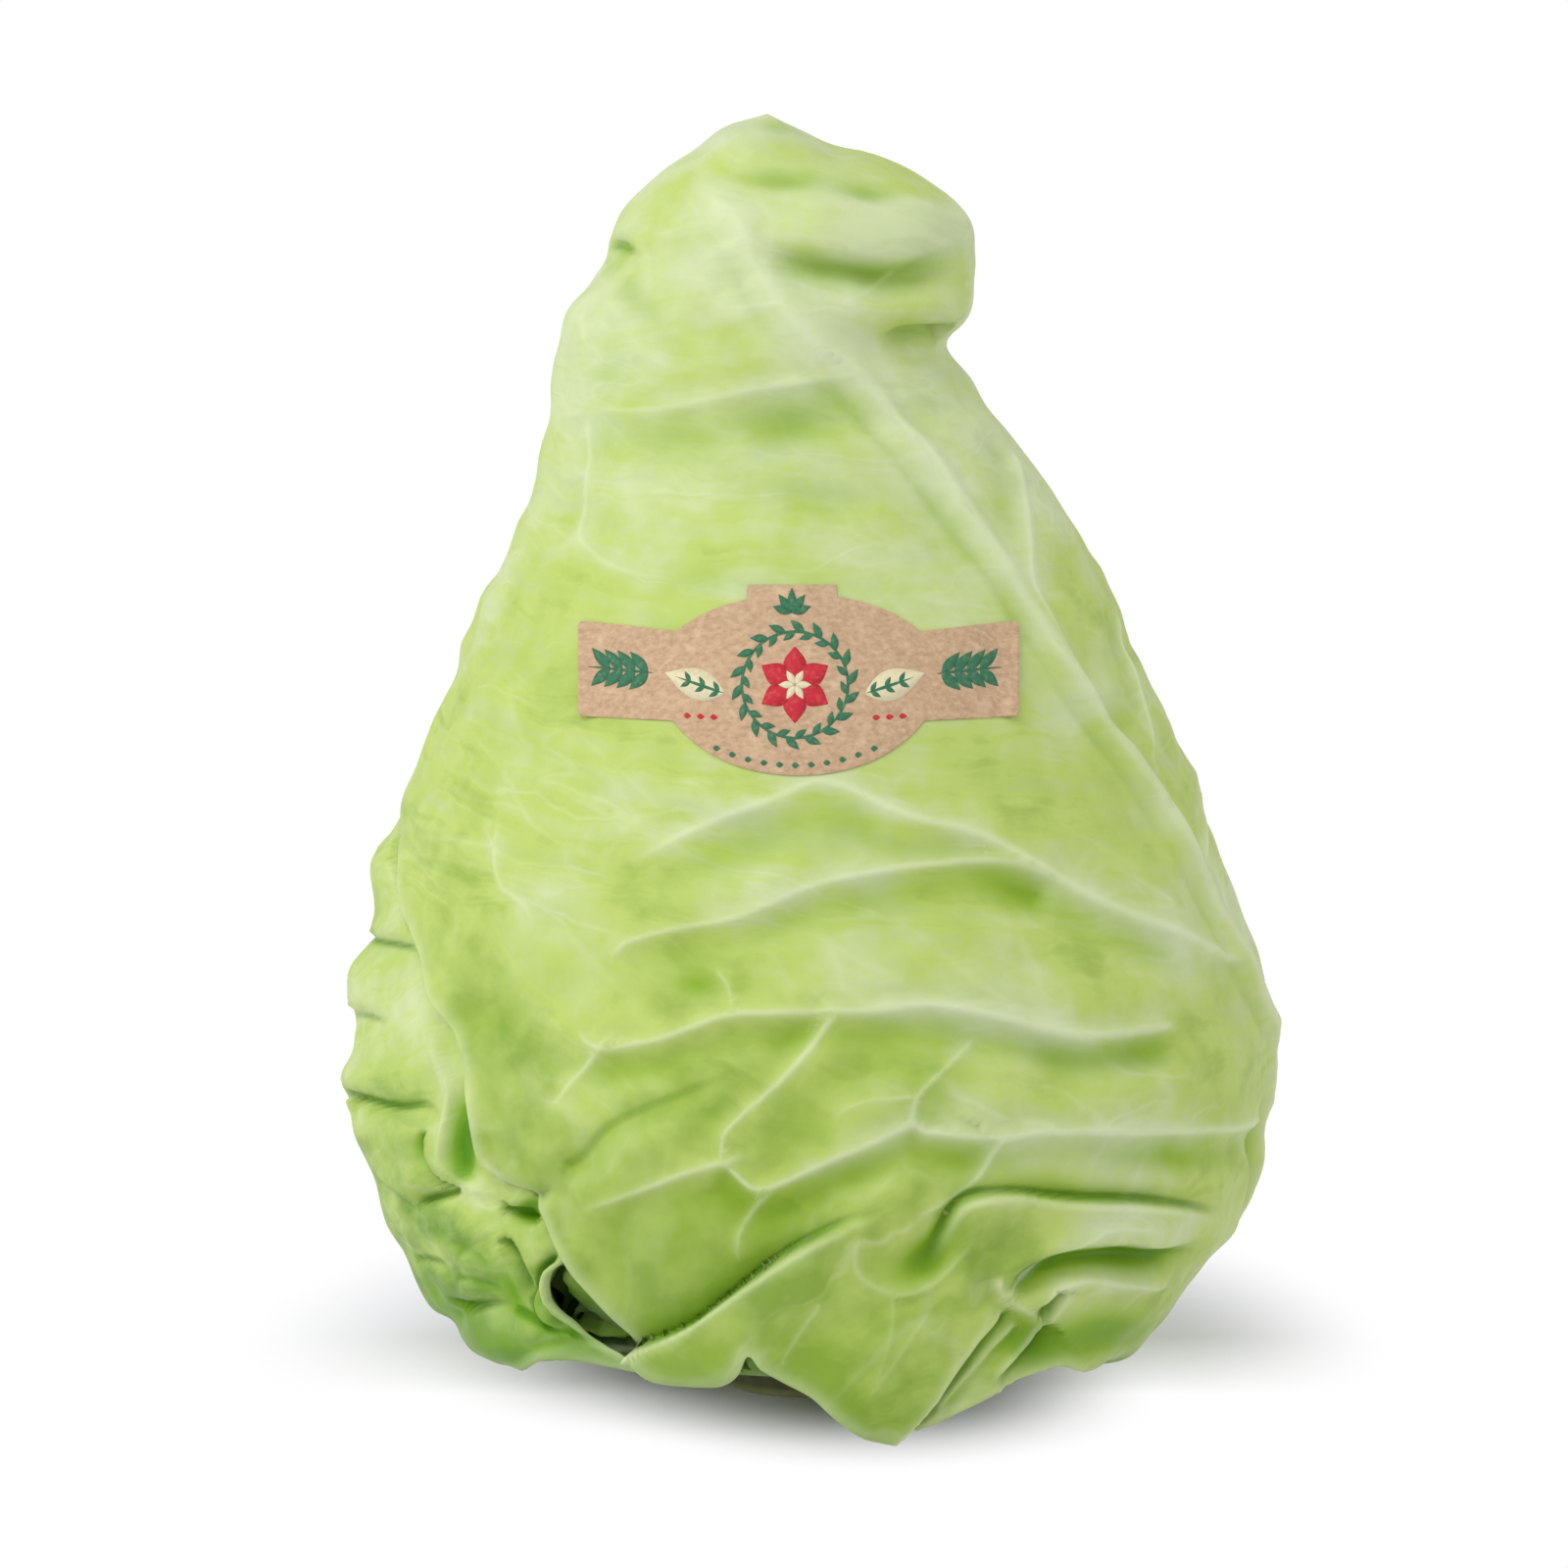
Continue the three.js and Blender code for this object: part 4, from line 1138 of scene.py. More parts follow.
    # each colour lies over the ones before it; deep is partly painted shade, hollow and pit are
    # painted shade, and light is partly painted light
    colour = linearColour(look["mid"])
    for key, share in (
        ("light", addNode(tree, "MapRange", (paler, 0.0, 1.0, 0.0, 1.0))),
        ("deepAndShade", addNode(tree, "MapRange", (paler, -0.1, -1.0, 0.0, 0.9))),
        ("deepAndShade", addNode(tree, "MapRange", (streaks, 0.5, 0.78, 0, 0.28))),
        ("hollow", inShadedHollow),
        ("pitShade", addNode(tree, "MapRange", (masks["hollow"], 0.9, 2.1, 0, 0.95))),
        ("pitShade", addNode(tree, "Math", (shadedCreases, 0.7), operation="MULTIPLY")),
        ("vein", addNode(tree, "Math", (veinlets, look["net"]), operation="MULTIPLY")),
        ("vein", addNode(tree, "Math", (veins, 0.8), operation="MULTIPLY")),
        ("vein", addNode(tree, "Math", (masks["edge"], 0.3), operation="MULTIPLY")),
    ):
        over = {0: share, 6: colour, 7: linearColour(look[key])}
        colour = addNode(tree, "Mix", over, data_type="RGBA").outputs[2]
    # relief too fine for the mesh: veinlets stand up a tenth of a millimetre over a pebbled skin
    skin = addNode(tree, "TexNoise", {"Vector": place, "Scale": 1 / 0.0016, "Detail": 3, "Roughness": 0.6})
    soft = addNode(tree, "TexNoise", {"Vector": place, "Scale": 1 / 0.0045, "Detail": 2})
    raised = addNode(tree, "Math", (skin, 0.2), operation="MULTIPLY")
    for part, amount in ((soft, 0.8), (streaks, 0.7), (veinlets, 0.5), (veins, 1.0), (shadedCreases, -0.8)):
        raised = addNode(tree, "Math", (part, amount, raised), operation="MULTIPLY_ADD")
    bump = addNode(tree, "Bump", {"Strength": 0.5, "Distance": 0.0004, "Height": raised})
    gloss = addNode(tree, "MapRange", (soft, 0.3, 0.7, look["rough"] - 0.06, look["rough"] + 0.08))
    shader = addNode(
        tree,
        "BsdfPrincipled",
        {
            "Base Color": colour,
            "Roughness": gloss,
            "IOR": 1.45,
            "Subsurface Weight": 0.22,
            "Subsurface Radius": (0.9, 1.0, 0.3),
            "Subsurface Scale": 0.0016,
            "Specular IOR Level": 0.2,
            "Normal": bump,
        },
    )
    addNode(tree, "OutputMaterial", {"Surface": shader})
    return material


# the hollow and pit colours are painted shade in hollows, creases and the deep pit; deep is partly painted
# shade and light partly painted light
leafLooks = {
    "front": {
        "mid": "#b8cc6b", "light": "#cbd8a6", "deepAndShade": "#82a23a",
        "hollow": "#88ad24", "pitShade": "#588a04", "vein": "#dfe7c2",
    },
    "left": {
        "mid": "#b4cb69", "light": "#d2dea6", "deepAndShade": "#6c9630",
        "hollow": "#78a61c", "pitShade": "#528a02", "vein": "#dbe4b8",
    },
    "right": {
        "mid": "#a2bc58", "light": "#c2d488", "deepAndShade": "#688e30",
        "hollow": "#608a20", "pitShade": "#1e3c06", "vein": "#d2deac",
    },
    "inner": {
        "mid": "#b0cc6c", "light": "#d0e09c", "deepAndShade": "#90b44a",
        "hollow": "#80aa38", "pitShade": "#1e3c06", "vein": "#e2ebc4",
    },
}
for look in leafLooks.values():
    look.update({"net": 0.3, "rough": 0.46})
frontTissue = leafTissue("cabbageLeafOuter", leafLooks["front"])
leftTissue = leafTissue("cabbageLeafSide", leafLooks["left"])
rightTissue = leafTissue("cabbageLeafUnder", leafLooks["right"])
innerTissue = leafTissue("cabbageLeafInner", leafLooks["inner"])

frontPiece = shapeLeaf("front_leaf_look", frontOutline, 0, front, frontLines(), frontDents, seed=11)
frontPiece.data.materials.append(frontTissue)
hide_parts("front_leaf")
print("front leaf", len(frontPiece.data.polygons))


# The left leaf: crumpled where it comes out from under the front leaf, with lobes on its outline.
leftLeaf = {
    "columns": 240,
    "rows": 200,
    "crowd": ([0, 0.42, 1], [0, 0.5, 1]),
    "lift": 0.3,
    "ruffle": 0.5,
    "ruffleSize": 16,
    "curlReach": 5.0,
    "pucker": 0.6,
    "roll": (-42, 14.5, 2.2),
    "rib": [(-112, -30), (-113, 0), (-114, 40), (-112, 80), (-108, 120), (-106, 150), (-106, 175)],
    "slopes": ([0, 200], [-0.35, -0.35]),
    # painted shade and light: the blade darker low down and paler up high
    "lightAndShadeByHeight": ([-20, 8, 20, 40, 60, 100, 200], [-1.9, -1.7, -1.3, -0.85, -0.2, 0.15, 0.25]),
}
leftOutline = {
    "left": [(-206, 2), (-209, 24), (-212, 55), (-211, 90), (-203, 130), (-194, 158), (-180, 180)],
    "top": [(-180, 180), (-150, 192), (-112, 197), (-70, 192), (-40, 178)],
    # its edge rolls up beside a deep hollow, and a tongue of it runs on under the front leaf
    "right": [
        *(seen(*p) for p in ((-29, 2.0), (-31, 4.6), (-36.4, 7.6), (-38.8, 10.4), (-41, 12.4))),
        *(seen(*p) for p in ((-42.4, 14.2), (-42.8, 16.4), (-42, 18.8), (-40, 21))),
        (-30, 34), (-20, 50), (-12, 75), (-8, 100), (-10, 130), (-20, 155), (-40, 178),
    ],
    "bottom": [
        (-206, 2), (-185, -16), (-160, -32), (-140, -40),
        (-96, -40), (-90, -26), (-84, -15), (-76, -5), (-65, 2.5),
        *(seen(*p) for p in ((-46.8, 3.0), (-42.8, 4.2), (-38, 3.4), (-34, 2.6), (-29, 2.0))),
    ],
}


def creaseLine(places, depth, width, side=1, lip=1.0, **more):
    # a sharp crease: one side of it (1 is left of its travel) swells over the other; its drop and its
    # crease line are painted with shade
    trace = Trace(places)
    step = (lip, width * 2.4, depth, width * 1.5, side)
    rises = [(-depth * 0.35, -side * width * 0.6, width * 0.8), (lip * 0.4, -side * width * 5, width * 2.4)]
    line = {"trace": trace, "rise": rises, "step": step, "pull": (-side * 0.6, side * 0.4, 1.4)}
    return {**line, "ends": (0.15, 0.3), "taper": 0.2, **more}


def leftLines():
    lines = [midribLine(leftLeaf["rib"], 1.9, 2.8, 0.7, 4.6)]
    lines += sideVeins(leftLeaf["rib"], (0.16, 0.3, 0.44, 0.58, 0.72), -1, 80, 30, 3)
    lines += sideVeins(leftLeaf["rib"], (0.3, 0.5, 0.66), 1, 36, 26, 4)
    # creases (x, v) as seen, from the top down
    lines += [
        creaseLine([(-78, 76), (-73, 75.5), (-67, 74), (-63, 70)], 2.0, 1.2),
        creaseLine([(-77, 63), (-73.5, 62.6), (-70, 61.2)], 1.4, 1.0),
        creaseLine(
            [(-79, 47.8), (-74.2, 46.6), (-69.5, 45), (-64.8, 45.4), (-62.4, 44.3), (-60.3, 42.7)],
            3.0, 1.1, -1,
        ),
        creaseLine([(-64.4, 42.4), (-63.4, 37.6), (-61.5, 33.9), (-58.4, 31.9)], 3.2, 1.1, 1),
        creaseLine([(-65.4, 28.8), (-61.5, 30), (-58, 31.2)], 3.0, 1.0, -1),
        creaseLine([(-52, 30.6), (-50, 29.6), (-47.4, 28.6), (-45, 27.4)], 3.4, 1.1, 1),
        creaseLine([(-52.6, 24), (-50.3, 20.5), (-48.6, 16.6), (-47.6, 13.8)], 3.2, 1.2, -1),
        creaseLine(
            [(-41, 20.6), (-44.4, 18.2), (-45.9, 15), (-45.8, 12.3), (-44, 10.2), (-40.2, 8.2)],
            2.4, 0.9, 1,
        ),
        creaseLine([(-65.4, 19.9), (-61.5, 19.3), (-58.4, 17.6)], 1.6, 1.0, -1),
        creaseLine(
            [(-60, 13.4), (-56.8, 11.8), (-52.1, 12.4), (-48.6, 12)],
            2.6, 1.1, -1, ends=(0.15, 0.45),
        ),
        creaseLine([(-72.4, 36.4), (-68, 32), (-64.2, 28.2)], 0.9, 0.9, 1),
        creaseLine([(-60, 22.8), (-55.5, 20.8), (-52.4, 17.4)], 0.7, 1.0, -1),
        creaseLine([(-58, 17.4), (-54, 16), (-50.6, 13.6)], 0.7, 0.9, -1),
    ]
    hem = [(-51, 12.3), (-48.2, 11.8), (-45.4, 10.2), (-42.8, 8.9), (-38, 7.8), (-33, 6.4)]
    lines.append(groove(hem, [(-0.6, 0, 0.9)], hollow=(1.5, 0, 0.9), cut=(0.9, 0), ends=(0.2, 0.1)))
    ridge = [(-65, 62), (-62.6, 54.5), (-60.4, 48.4), (-61.3, 41), (-61.2, 36.5), (-58.2, 33.4)]
    ridge += [(-54.9, 32.2), (-50.5, 31.6)]
    lines.append(vein(ridge, 1.2, 1.0, 0.5, pale=0.45, dipWidth=2.0, ends=(0.2, 0.15)))
    return lines


# as in frontDents
leftDents = [
    (-73, 86.5, 6, 6, 0, 5.2),
    (-75, 68, 5, 6, 0, 3.4),
    (-77, 50.5, 6, 3.6, 0, 3.6, 0, 0.4),
    (-77, 42.5, 6, 4.4, 0, 3.0, 0, 0.4),
    (-71, 26, 5, 5, 0, 1.8),
    (-64, 12.5, 5, 6, 0, 2.2),
    (-68, 38, 6, 6, -20, 1.2),
    (-57.2, 40.2, 1.8, 6.4, -4, -1.1, 2.6, -1.5),
    (-56.2, 31.4, 5, 2.4, -10, 0, -0.6, 1.2),
    (-46.3, 29.4, 2.2, 1.8, 20, -1.8, 2.0, -1.0),
    (-63.6, 40, 1.2, 2.6, 0, -0.8, 1.4),
    (-49, 16, 1.3, 4, 16, -0.8, 1.3),
    (-44.6, 14, 1.0, 4, 12, -0.3, 1.0),
    (-48.6, 29, 5, 1.2, -24, -0.5, 0.8),
    (-57.6, 12, 2.0, 1.8, 0, -1.8, 1.4),
    (-56, 20, 5, 6, 20, 1.0),
    (-51, 7.8, 5.5, 3, 0, 1.8, 0.5),
    (-64, 34.5, 3.6, 4, -20, 0.3, -0.5, 0.8),
    (-49, 5, 5, 2.4, 0, 0, 1.2),
    (-69, 62, 5, 5, 0, 0, -0.3, 0.9),
    (-62, 22, 3.4, 2.6, 0, 0.2, -0.4, 0.6),
    (-54, 27, 3, 2, -10, 0.2, -0.4, 0.6),
    (-61, 16, 1.6, 2.6, 30, -0.4, 1.1),
    (-70, 43.6, 6, 1.6, -8, 0, -0.4, 0.7),
]
leavesOver = [frontOutline]
leftPiece = shapeLeaf("left_leaf_look", leftOutline, 1, leftLeaf, leftLines(), leftDents, 23, leavesOver)
leftPiece.data.materials.append(leftTissue)
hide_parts("left_leaf")
print("left leaf", len(leftPiece.data.polygons))

# The other leaves grow one after another round the stump, each about two fifths of a turn on.
# grow says at which turn, how far to the left and right it reaches and how high.
otherLeaves = [
    {"name": "right_leaf", "layer": 2, "grow": (45, 128, 105, 194), "finer": 2, "tissue": rightTissue},
    {"name": "back_leaf", "layer": 3, "grow": (162, 95, 95, 206), "finer": 2, "tissue": leftTissue},
    {"name": "inner_left_leaf", "layer": 4, "grow": (-60, 100, 95, 198), "finer": 1, "tissue": innerTissue},
    {"name": "inner_right_leaf", "layer": 5, "grow": (78, 100, 95, 200), "finer": 1, "tissue": innerTissue},
    {"name": "inner_back_leaf", "layer": 6, "grow": (-145, 95, 95, 204), "finer": 1, "tissue": innerTissue},
    {"name": "inner_front_leaf", "layer": 7, "grow": (-7, 95, 95, 206), "finer": 1, "tissue": innerTissue},
]
leavesOver = [frontOutline, leftOutline]
for number, leaf in enumerate(otherLeaves):
    at, toLeft, toRight, top = leaf["grow"]
    rib = [(at, -30), (at, 0), (at + 1, 40), (at + 2, 80), (at, 120), (at - 3, 150), (at - 4, top - 14)]
    leaf.update({"columns": 90 * leaf["finer"], "rows": 80 * leaf["finer"], "rib": rib})
    leaf.update({"lift": 0.4, "ruffle": 0.7, "ruffleSize": 18, "curlReach": 5.0})
    leaf.update({"slopes": leftLeaf["slopes"], "lightAndShadeByHeight": leftLeaf["lightAndShadeByHeight"]})
    lines = [midribLine(rib, 1.6, 2.6, 0.6, 4.4)]
    for side in (-1, 1):
        seed = 40 + number * 2 + (side > 0)
        lines += sideVeins(rib, (0.16, 0.3, 0.44, 0.58, 0.72), side, 78, 28, seed)
    outline = wrapper(at, toLeft, toRight, top)
    seed = 60 + number * 7
    piece = shapeLeaf(leaf["name"] + "_look", outline, leaf["layer"], leaf, lines, [], seed, leavesOver)
    piece.data.materials.append(leaf["tissue"])
    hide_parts(leaf["name"])
print("other leaves", len(otherLeaves))


# The heart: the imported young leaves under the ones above. pressed says how far a covered part of
# it is pressed in, besideRoll how much room it leaves beside the rolled edge.
heartShape = {
    "columns": 96,
    "rows": 80,
    "low": -36,
    "high": 211,
    "layer": 8,
    "pressed": 9,
    "besideRoll": 8,
    "step": 0.8,
}


def buildHeart():
    around = np.linspace(-180, 180, heartShape["columns"] + 1)[:-1]
    turn, h = np.meshgrid(around, np.linspace(heartShape["low"], heartShape["high"], heartShape["rows"]))
    cover = np.maximum(*(coverOf(turn, h, outline, 10.0) for outline in (frontOutline, leftOutline)))
    pressed = heartShape["pressed"] * cover * (1 + 0.4 * smooth(45, 25, h)) * smooth(-14, 8, h)
    depth = heartShape["layer"] * head["layerPitch"] + pressed
    base = inLayer(turn, h, depth + roomUnder(turn, h, heartShape["besideRoll"]))
    base[..., 2] += underside(base, h)
    # the rims of young leaves wind up it, each ending in a small step, with shade painted as deeper
    # green just before each step
    winding = np.mod(turn / 60 + h / 70 + 0.08 * ripple(base, 40, 91), 1)
    step = heartShape["step"] * (smooth(0, 1, winding) * smooth(205, 180, h) - 1)
    base = base + headNormal(turn, h) * step[..., None]
    points, faces = closedRound(base, base[0].mean(0), base[-1].mean(0))
    none = np.zeros(len(points))
    values = {
        "vein": np.append(bell(winding - 0.02, 0.05), [0, 0]),
        "hollow": np.append(smooth(0.92, 1.0, winding), [0, 0]),
        "edge": none,
        "paleAndHighlight": none,
        "toneAndShade": none + 0.2,
        "fibre": points * mm,
    }
    return meshFrom("heart_look", points, faces, values)


heart = buildHeart()
heart.data.materials.append(innerTissue)
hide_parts("heart")
print("heart", len(heart.data.polygons))


stump = {"top": stumpHigh.z / mm, "columns": 144, "waist": 0.035}


def buildStump():
    # a short stalk, cut straight across below, with the scars of old leaves round it
    radius = (stumpHigh.x - stumpLow.x) / 2 / mm - 0.2
    profile = [(0, 0.0), (0.3, 0.0), (0.6, 0.0), (0.8, 0.0), (0.93, 0.02), (0.985, 0.25), (1, 0.8)]
    for t in np.linspace(0.05, 1, 22):
        profile.append((1 - stump["waist"] * math.sin(math.pi * t), 0.8 + (stump["top"] - 1.6) * t))
    profile += [(0.985, stump["top"] - 0.4), (0.9, stump["top"]), (0.5, stump["top"]), (0, stump["top"])]
    shares, heights = np.array(profile).T
    # the two middle points of the profile become single points
    angle = np.linspace(0, 2 * math.pi, stump["columns"], endpoint=False)
    ring = shares[1:-1, None]
    tall = heights[1:-1, None] + 0 * angle
    scars = 0.35 * np.sin(angle * 5 + tall * 0.9) * smooth(1, 4, tall)
    scars += 0.12 * np.sin(angle * 23 + tall * 2)
    reach = radius * ring - 0.5 + (scars - 0.3) * smooth(0.9, 1, ring)
    grid = np.stack([reach * np.cos(angle), reach * np.sin(angle), tall], -1)
    points, faces = closedRound(grid, (0, 0, 0), (0, 0, stump["top"]))
    return meshFrom("cut_stump_look", points, faces)


def cutStalk():
    # Cabbage stalk, cut with a knife: pale moist pith below and a thin dull skin round it, which
    # reads as slightly wet and see-through. The skin is painted darker than its own colour, as shade
    # under the head.
    material, tree = newMaterial("cutStalk")
    place = addNode(tree, "TexCoord").outputs["Object"]
    fibres = addNode(tree, "TexNoise", {"Vector": place, "Scale": 1 / 0.0015, "Detail": 4})  # 1.5 mm fibres
    stains = addNode(tree, "TexNoise", {"Vector": place, "Scale": 1 / 0.009, "Detail": 3})
    pith = addNode(tree, "ValToRGB", (stains,), stops=((0.35, "#c9c98a"), (0.65, "#e4e6bd")))
    fibreShade = addNode(tree, "MapRange", (fibres, 0.4, 0.7, 0, 0.35))
    height = addNode(tree, "SeparateXYZ", (place,)).outputs["Z"]
    # the skin round the side: its own darker colour, darkened further as painted shade
    skin = addNode(tree, "MapRange", (height, 0.0004, 0.0016, 0, 0.85))
    colour = pith
    for share, over in ((fibreShade, "#b3b97a"), (skin, "#6d6c45")):
        over = {0: share, 6: colour, 7: linearColour(over)}
        colour = addNode(tree, "Mix", over, data_type="RGBA").outputs[2]
    bump = addNode(tree, "Bump", {"Strength": 0.4, "Distance": 0.0003, "Height": fibres})
    shader = addNode(
        tree,
        "BsdfPrincipled",
        {
            "Base Color": colour,
            "Roughness": 0.42,
            "IOR": 1.4,
            "Subsurface Weight": 0.25,
            "Subsurface Radius": (1.0, 1.0, 0.5),
            "Subsurface Scale": 0.002,
            "Normal": bump,
        },
    )
    addNode(tree, "OutputMaterial", {"Surface": shader})
    return material


stumpPiece = buildStump()
stumpPiece.data.materials.append(cutStalk())
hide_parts("cut_stump")
print("stump", len(stumpPiece.data.polygons))


def labelSpan(u):
    # the lowest and highest place of the label at u, before it bends with the leaf
    far = np.abs(u)
    share = np.clip(far / label["halfOval"], 0, 1)
    bulge = np.sqrt(1 - share**2)
    widening = label["bandHalfEnd"] - label["bandHalfJoin"]
    band = label["bandHalfJoin"] + widening * smooth(16, label["bandEnd"], far)
    high = np.maximum(label["ovalTop"] * bulge, band)
    low = np.minimum(label["ovalBottom"] * bulge, -band)
    high = np.where(np.abs(u - label["tabAt"]) < label["tabHalf"], label["tabTop"], high)
    toEnd = np.clip(label["bandEnd"] - far, 0, label["corner"])
    cut = label["corner"] - np.sqrt(np.maximum(label["corner"] ** 2 - (label["corner"] - toEnd) ** 2, 0))
    return low + cut, high - cut


def placeOnLeaf(u, w):
    # the direction from the eye to a place on the label, which bends up at its ends
    bend = label["endRise"] * smooth(8, label["bandEnd"] + 8, np.abs(u))
    x, v = label["x"] + u, label["v"] + w + bend
    across = np.multiply.outer(x - viewAim[0], (1, 0, 0)) + np.multiply.outer(v - aimHeight, viewUp)
    return unit(viewAim + across - viewEye)


def leafDistance(tree, way):
    return tree.ray_cast(Vector(toWorld(viewEye)), Vector(way))[3] / mm


def buildLabel(leaf):
    tree = BVHTree.FromObject(leaf, bpy.context.evaluated_depsgraph_get())
    ends = label["bandEnd"]
    # how far off the leaf is, on a regular grid; paper is too stiff to follow every dip of it
    gridU, gridW = np.linspace(-ends - 1, ends + 1, 103), np.linspace(-17, 22, 55)
    far = np.array([[leafDistance(tree, placeOnLeaf(a, b)) for a in gridU] for b in gridW])
    smoothed = far.copy()
    for _ in range(40):
        padded = np.pad(smoothed, 1, mode="edge")
        smoothed = (padded[:-2, 1:-1] + padded[2:, 1:-1] + padded[1:-1, :-2] + padded[1:-1, 2:]) / 4
    far = np.minimum(smoothed, far) - 0.12
    u = np.linspace(-ends, ends, label["columns"] + 1)
    for side in (-1, 1):
        # two columns stand close together where the tab steps up
        stepAt = label["tabAt"] + side * label["tabHalf"]
        near = np.argsort(np.abs(u - stepAt))[:2]
        u[near] = (stepAt - 0.03, stepAt + 0.03)
    u.sort()
    low, high = labelSpan(u)
    share = np.linspace(0, 1, label["rows"] + 1)[:, None]
    w = low + (high - low) * share
    u = u[None] + 0 * w
    way = placeOnLeaf(u, w)
    column = np.clip((u - gridU[0]) / (gridU[1] - gridU[0]), 0, len(gridU) - 1.001)
    row = np.clip((w - gridW[0]) / (gridW[1] - gridW[0]), 0, len(gridW) - 1.001)
    # its ends curl up a little
    curl = 0.4 * smooth(4, 0, ends - np.abs(u))
    top = viewEye + way * (between(far, row, column) - label["thick"] - curl)[..., None]
    return u, w, top


labelU, labelW, labelTop = buildLabel(frontPiece)
labelPiece = leafMesh("paper_label_look", labelTop, np.full(labelU.shape, label["thick"]), {})


def onLabel(u, w, lift):
    # a place on the label, raised by lift
    column = np.interp(u, labelU[0], np.arange(labelU.shape[1]))
    low, high = np.interp(u, labelU[0], labelW[0]), np.interp(u, labelU[0], labelW[-1])
    row = np.clip((w - low) / (high - low), 0, 1) * (labelU.shape[0] - 1)
    i, j = min(int(row), labelU.shape[0] - 2), min(int(column), labelU.shape[1] - 2)
    corner = labelTop[i, j]
    normal = unit(np.cross(labelTop[i, j + 1] - corner, labelTop[i + 1, j] - corner))
    return between(labelTop, row, column) + normal * lift


def inkShapes(shapes, name, material, over=0.0):
    # flat shapes, each a list of cross-lines from one side to the other, made as thin films
    points, faces = [], []
    for strip in shapes:
        start = len(points)
        for (a, b), (c, d) in strip:
            across = ((a, b), ((a + c) / 2, (b + d) / 2), (c, d))
            for lift in (0.045 + over, -0.03):
                points += [onLabel(*place, lift) for place in across]
        count = len(strip)
        for i in range(count - 1):
            p = start + i * 6
            q = p + 6
            faces += [[p, p + 1, q + 1, q], [p + 1, p + 2, q + 2, q + 1]]
            faces += [[p + 4, p + 3, q + 3, q + 4], [p + 5, p + 4, q + 4, q + 5]]
            faces += [[p + 3, p, q, q + 3], [p + 2, p + 5, q + 5, q + 2]]
        last = start + (count - 1) * 6
        faces += [[start, start + 3, start + 4, start + 1], [start + 1, start + 4, start + 5, start + 2]]
        faces += [[last + 1, last + 4, last + 3, last], [last + 2, last + 5, last + 4, last + 1]]
    piece = meshFrom(name, np.array(points), faces)
    mesh = bmesh.new()
    mesh.from_mesh(piece.data)
    bmesh.ops.recalc_face_normals(mesh, faces=mesh.faces)
    mesh.to_mesh(piece.data)
    mesh.free()
    piece.data.materials.append(material)
    return piece


def lens(x, y, length, width, angle, steps=8):
    # a leaf shape that starts at (x, y)
    c, d = math.cos(math.radians(angle)), math.sin(math.radians(angle))
    strip = []
    for i in range(steps + 1):
        along = i / steps
        half = width / 2 * max(math.sin(math.pi * along**0.85), 0.04)
        here = (x + c * length * along, y + d * length * along)
        strip.append(((here[0] - d * half, here[1] + c * half), (here[0] + d * half, here[1] - c * half)))
    return strip


def hoop(x, y, radius, width, steps=36):
    strip = []
    for i in range(steps + 1):
        a = 2 * math.pi * i / steps
        reaches = (radius + width / 2, radius - width / 2)
        strip.append([(x + math.cos(a) * reach, y + math.sin(a) * reach) for reach in reaches])
    return strip


def sprig(x, y, length, angle, pairs, leaf):
    # a stem that starts at (x, y), with pairs of small leaves on it
    c, d = math.cos(math.radians(angle)), math.sin(math.radians(angle))
    shapes = [lens(x, y, length + leaf * 0.55, 0.55, angle)]
    for i in range(pairs):
        far = length * (i + 0.4) / pairs
        for side in (-1, 1):
            shapes.append(lens(x + c * far, y + d * far, leaf, leaf * 0.42, angle + side * 46))
    return shapes


# The print: a flower inside a wreath in the middle, a pale leaf at each side of it, and a sprig on
# each band. Lengths are in mm. paleSides holds the side and the angle of each pale leaf.
prints = {"middle": (-0.6, -0.9), "wreath": 8.8, "paleLeafAt": (11.6, -2.4), "paleLeaf": (10.2, 5.2)}
paleSides = ((1, 16), (-1, 164))


def aroundFlower(far, count, start, length, width, lean=0.0):
    # leaf shapes in a ring round the flower's middle, at far from it
    x, y = prints["middle"]
    shapes = []
    for i in range(count):
        angle = start + 360 * i / count
        a = math.radians(angle)
        shapes.append(lens(x + far * math.cos(a), y + far * math.sin(a), length, width, angle + lean))
    return shapes


def printedLeaves():
    # green: the wreath, the sprigs, the ribs of the pale leaves and a row of seeds
    x, y = prints["middle"]
    shapes = [hoop(x, y, prints["wreath"], 0.4)]
    shapes += aroundFlower(prints["wreath"], 18, 0, 3.0, 1.3, 58)
    shapes += aroundFlower(prints["wreath"], 18, 10, 2.4, 1.1, 128)
    ribX, ribY = prints["paleLeafAt"]
    length = prints["paleLeaf"][0]
    for side, angle in paleSides:
        shapes += sprig(x + side * 23.4, 0.2, 8.4, 90 - 89 * side, 4, 4.3)
        shapes += sprig(x + side * ribX, ribY, length * 0.72, angle, 3, 1.9)
    shapes += [lens(-1.1, 11.0, 4.1 - abs(i) * 0.4, 1.5, 90 + 36 * i) for i in (-2, -1, 0, 1, 2)]
    shapes += [lens(x + 2.6 * i - 0.5, 0.016 * (2.6 * i) ** 2 - 14.2, 1.2, 0.9, 0) for i in range(-5, 6)]
    return shapes


def printedFlower():
    # red: the petals, and a few seeds under each pale leaf
    shapes = aroundFlower(0.9, 6, 30, 5.4, 3.9)
    x = prints["middle"][0]
    for side in (-1, 1):
        shapes += [lens(x + side * (13.4 + i * 2.2) - 0.6, -6.4, 1.3, 0.9, 0) for i in range(3)]
    return shapes


def paleShapes():
    # cream: the two leaves and the middle of the flower
    x, y = prints["paleLeafAt"]
    middle = prints["middle"][0]
    leaves = [lens(middle + side * x, y, *prints["paleLeaf"], angle, 16) for side, angle in paleSides]
    return leaves + aroundFlower(0.2, 6, 0, 2.5, 1.2)


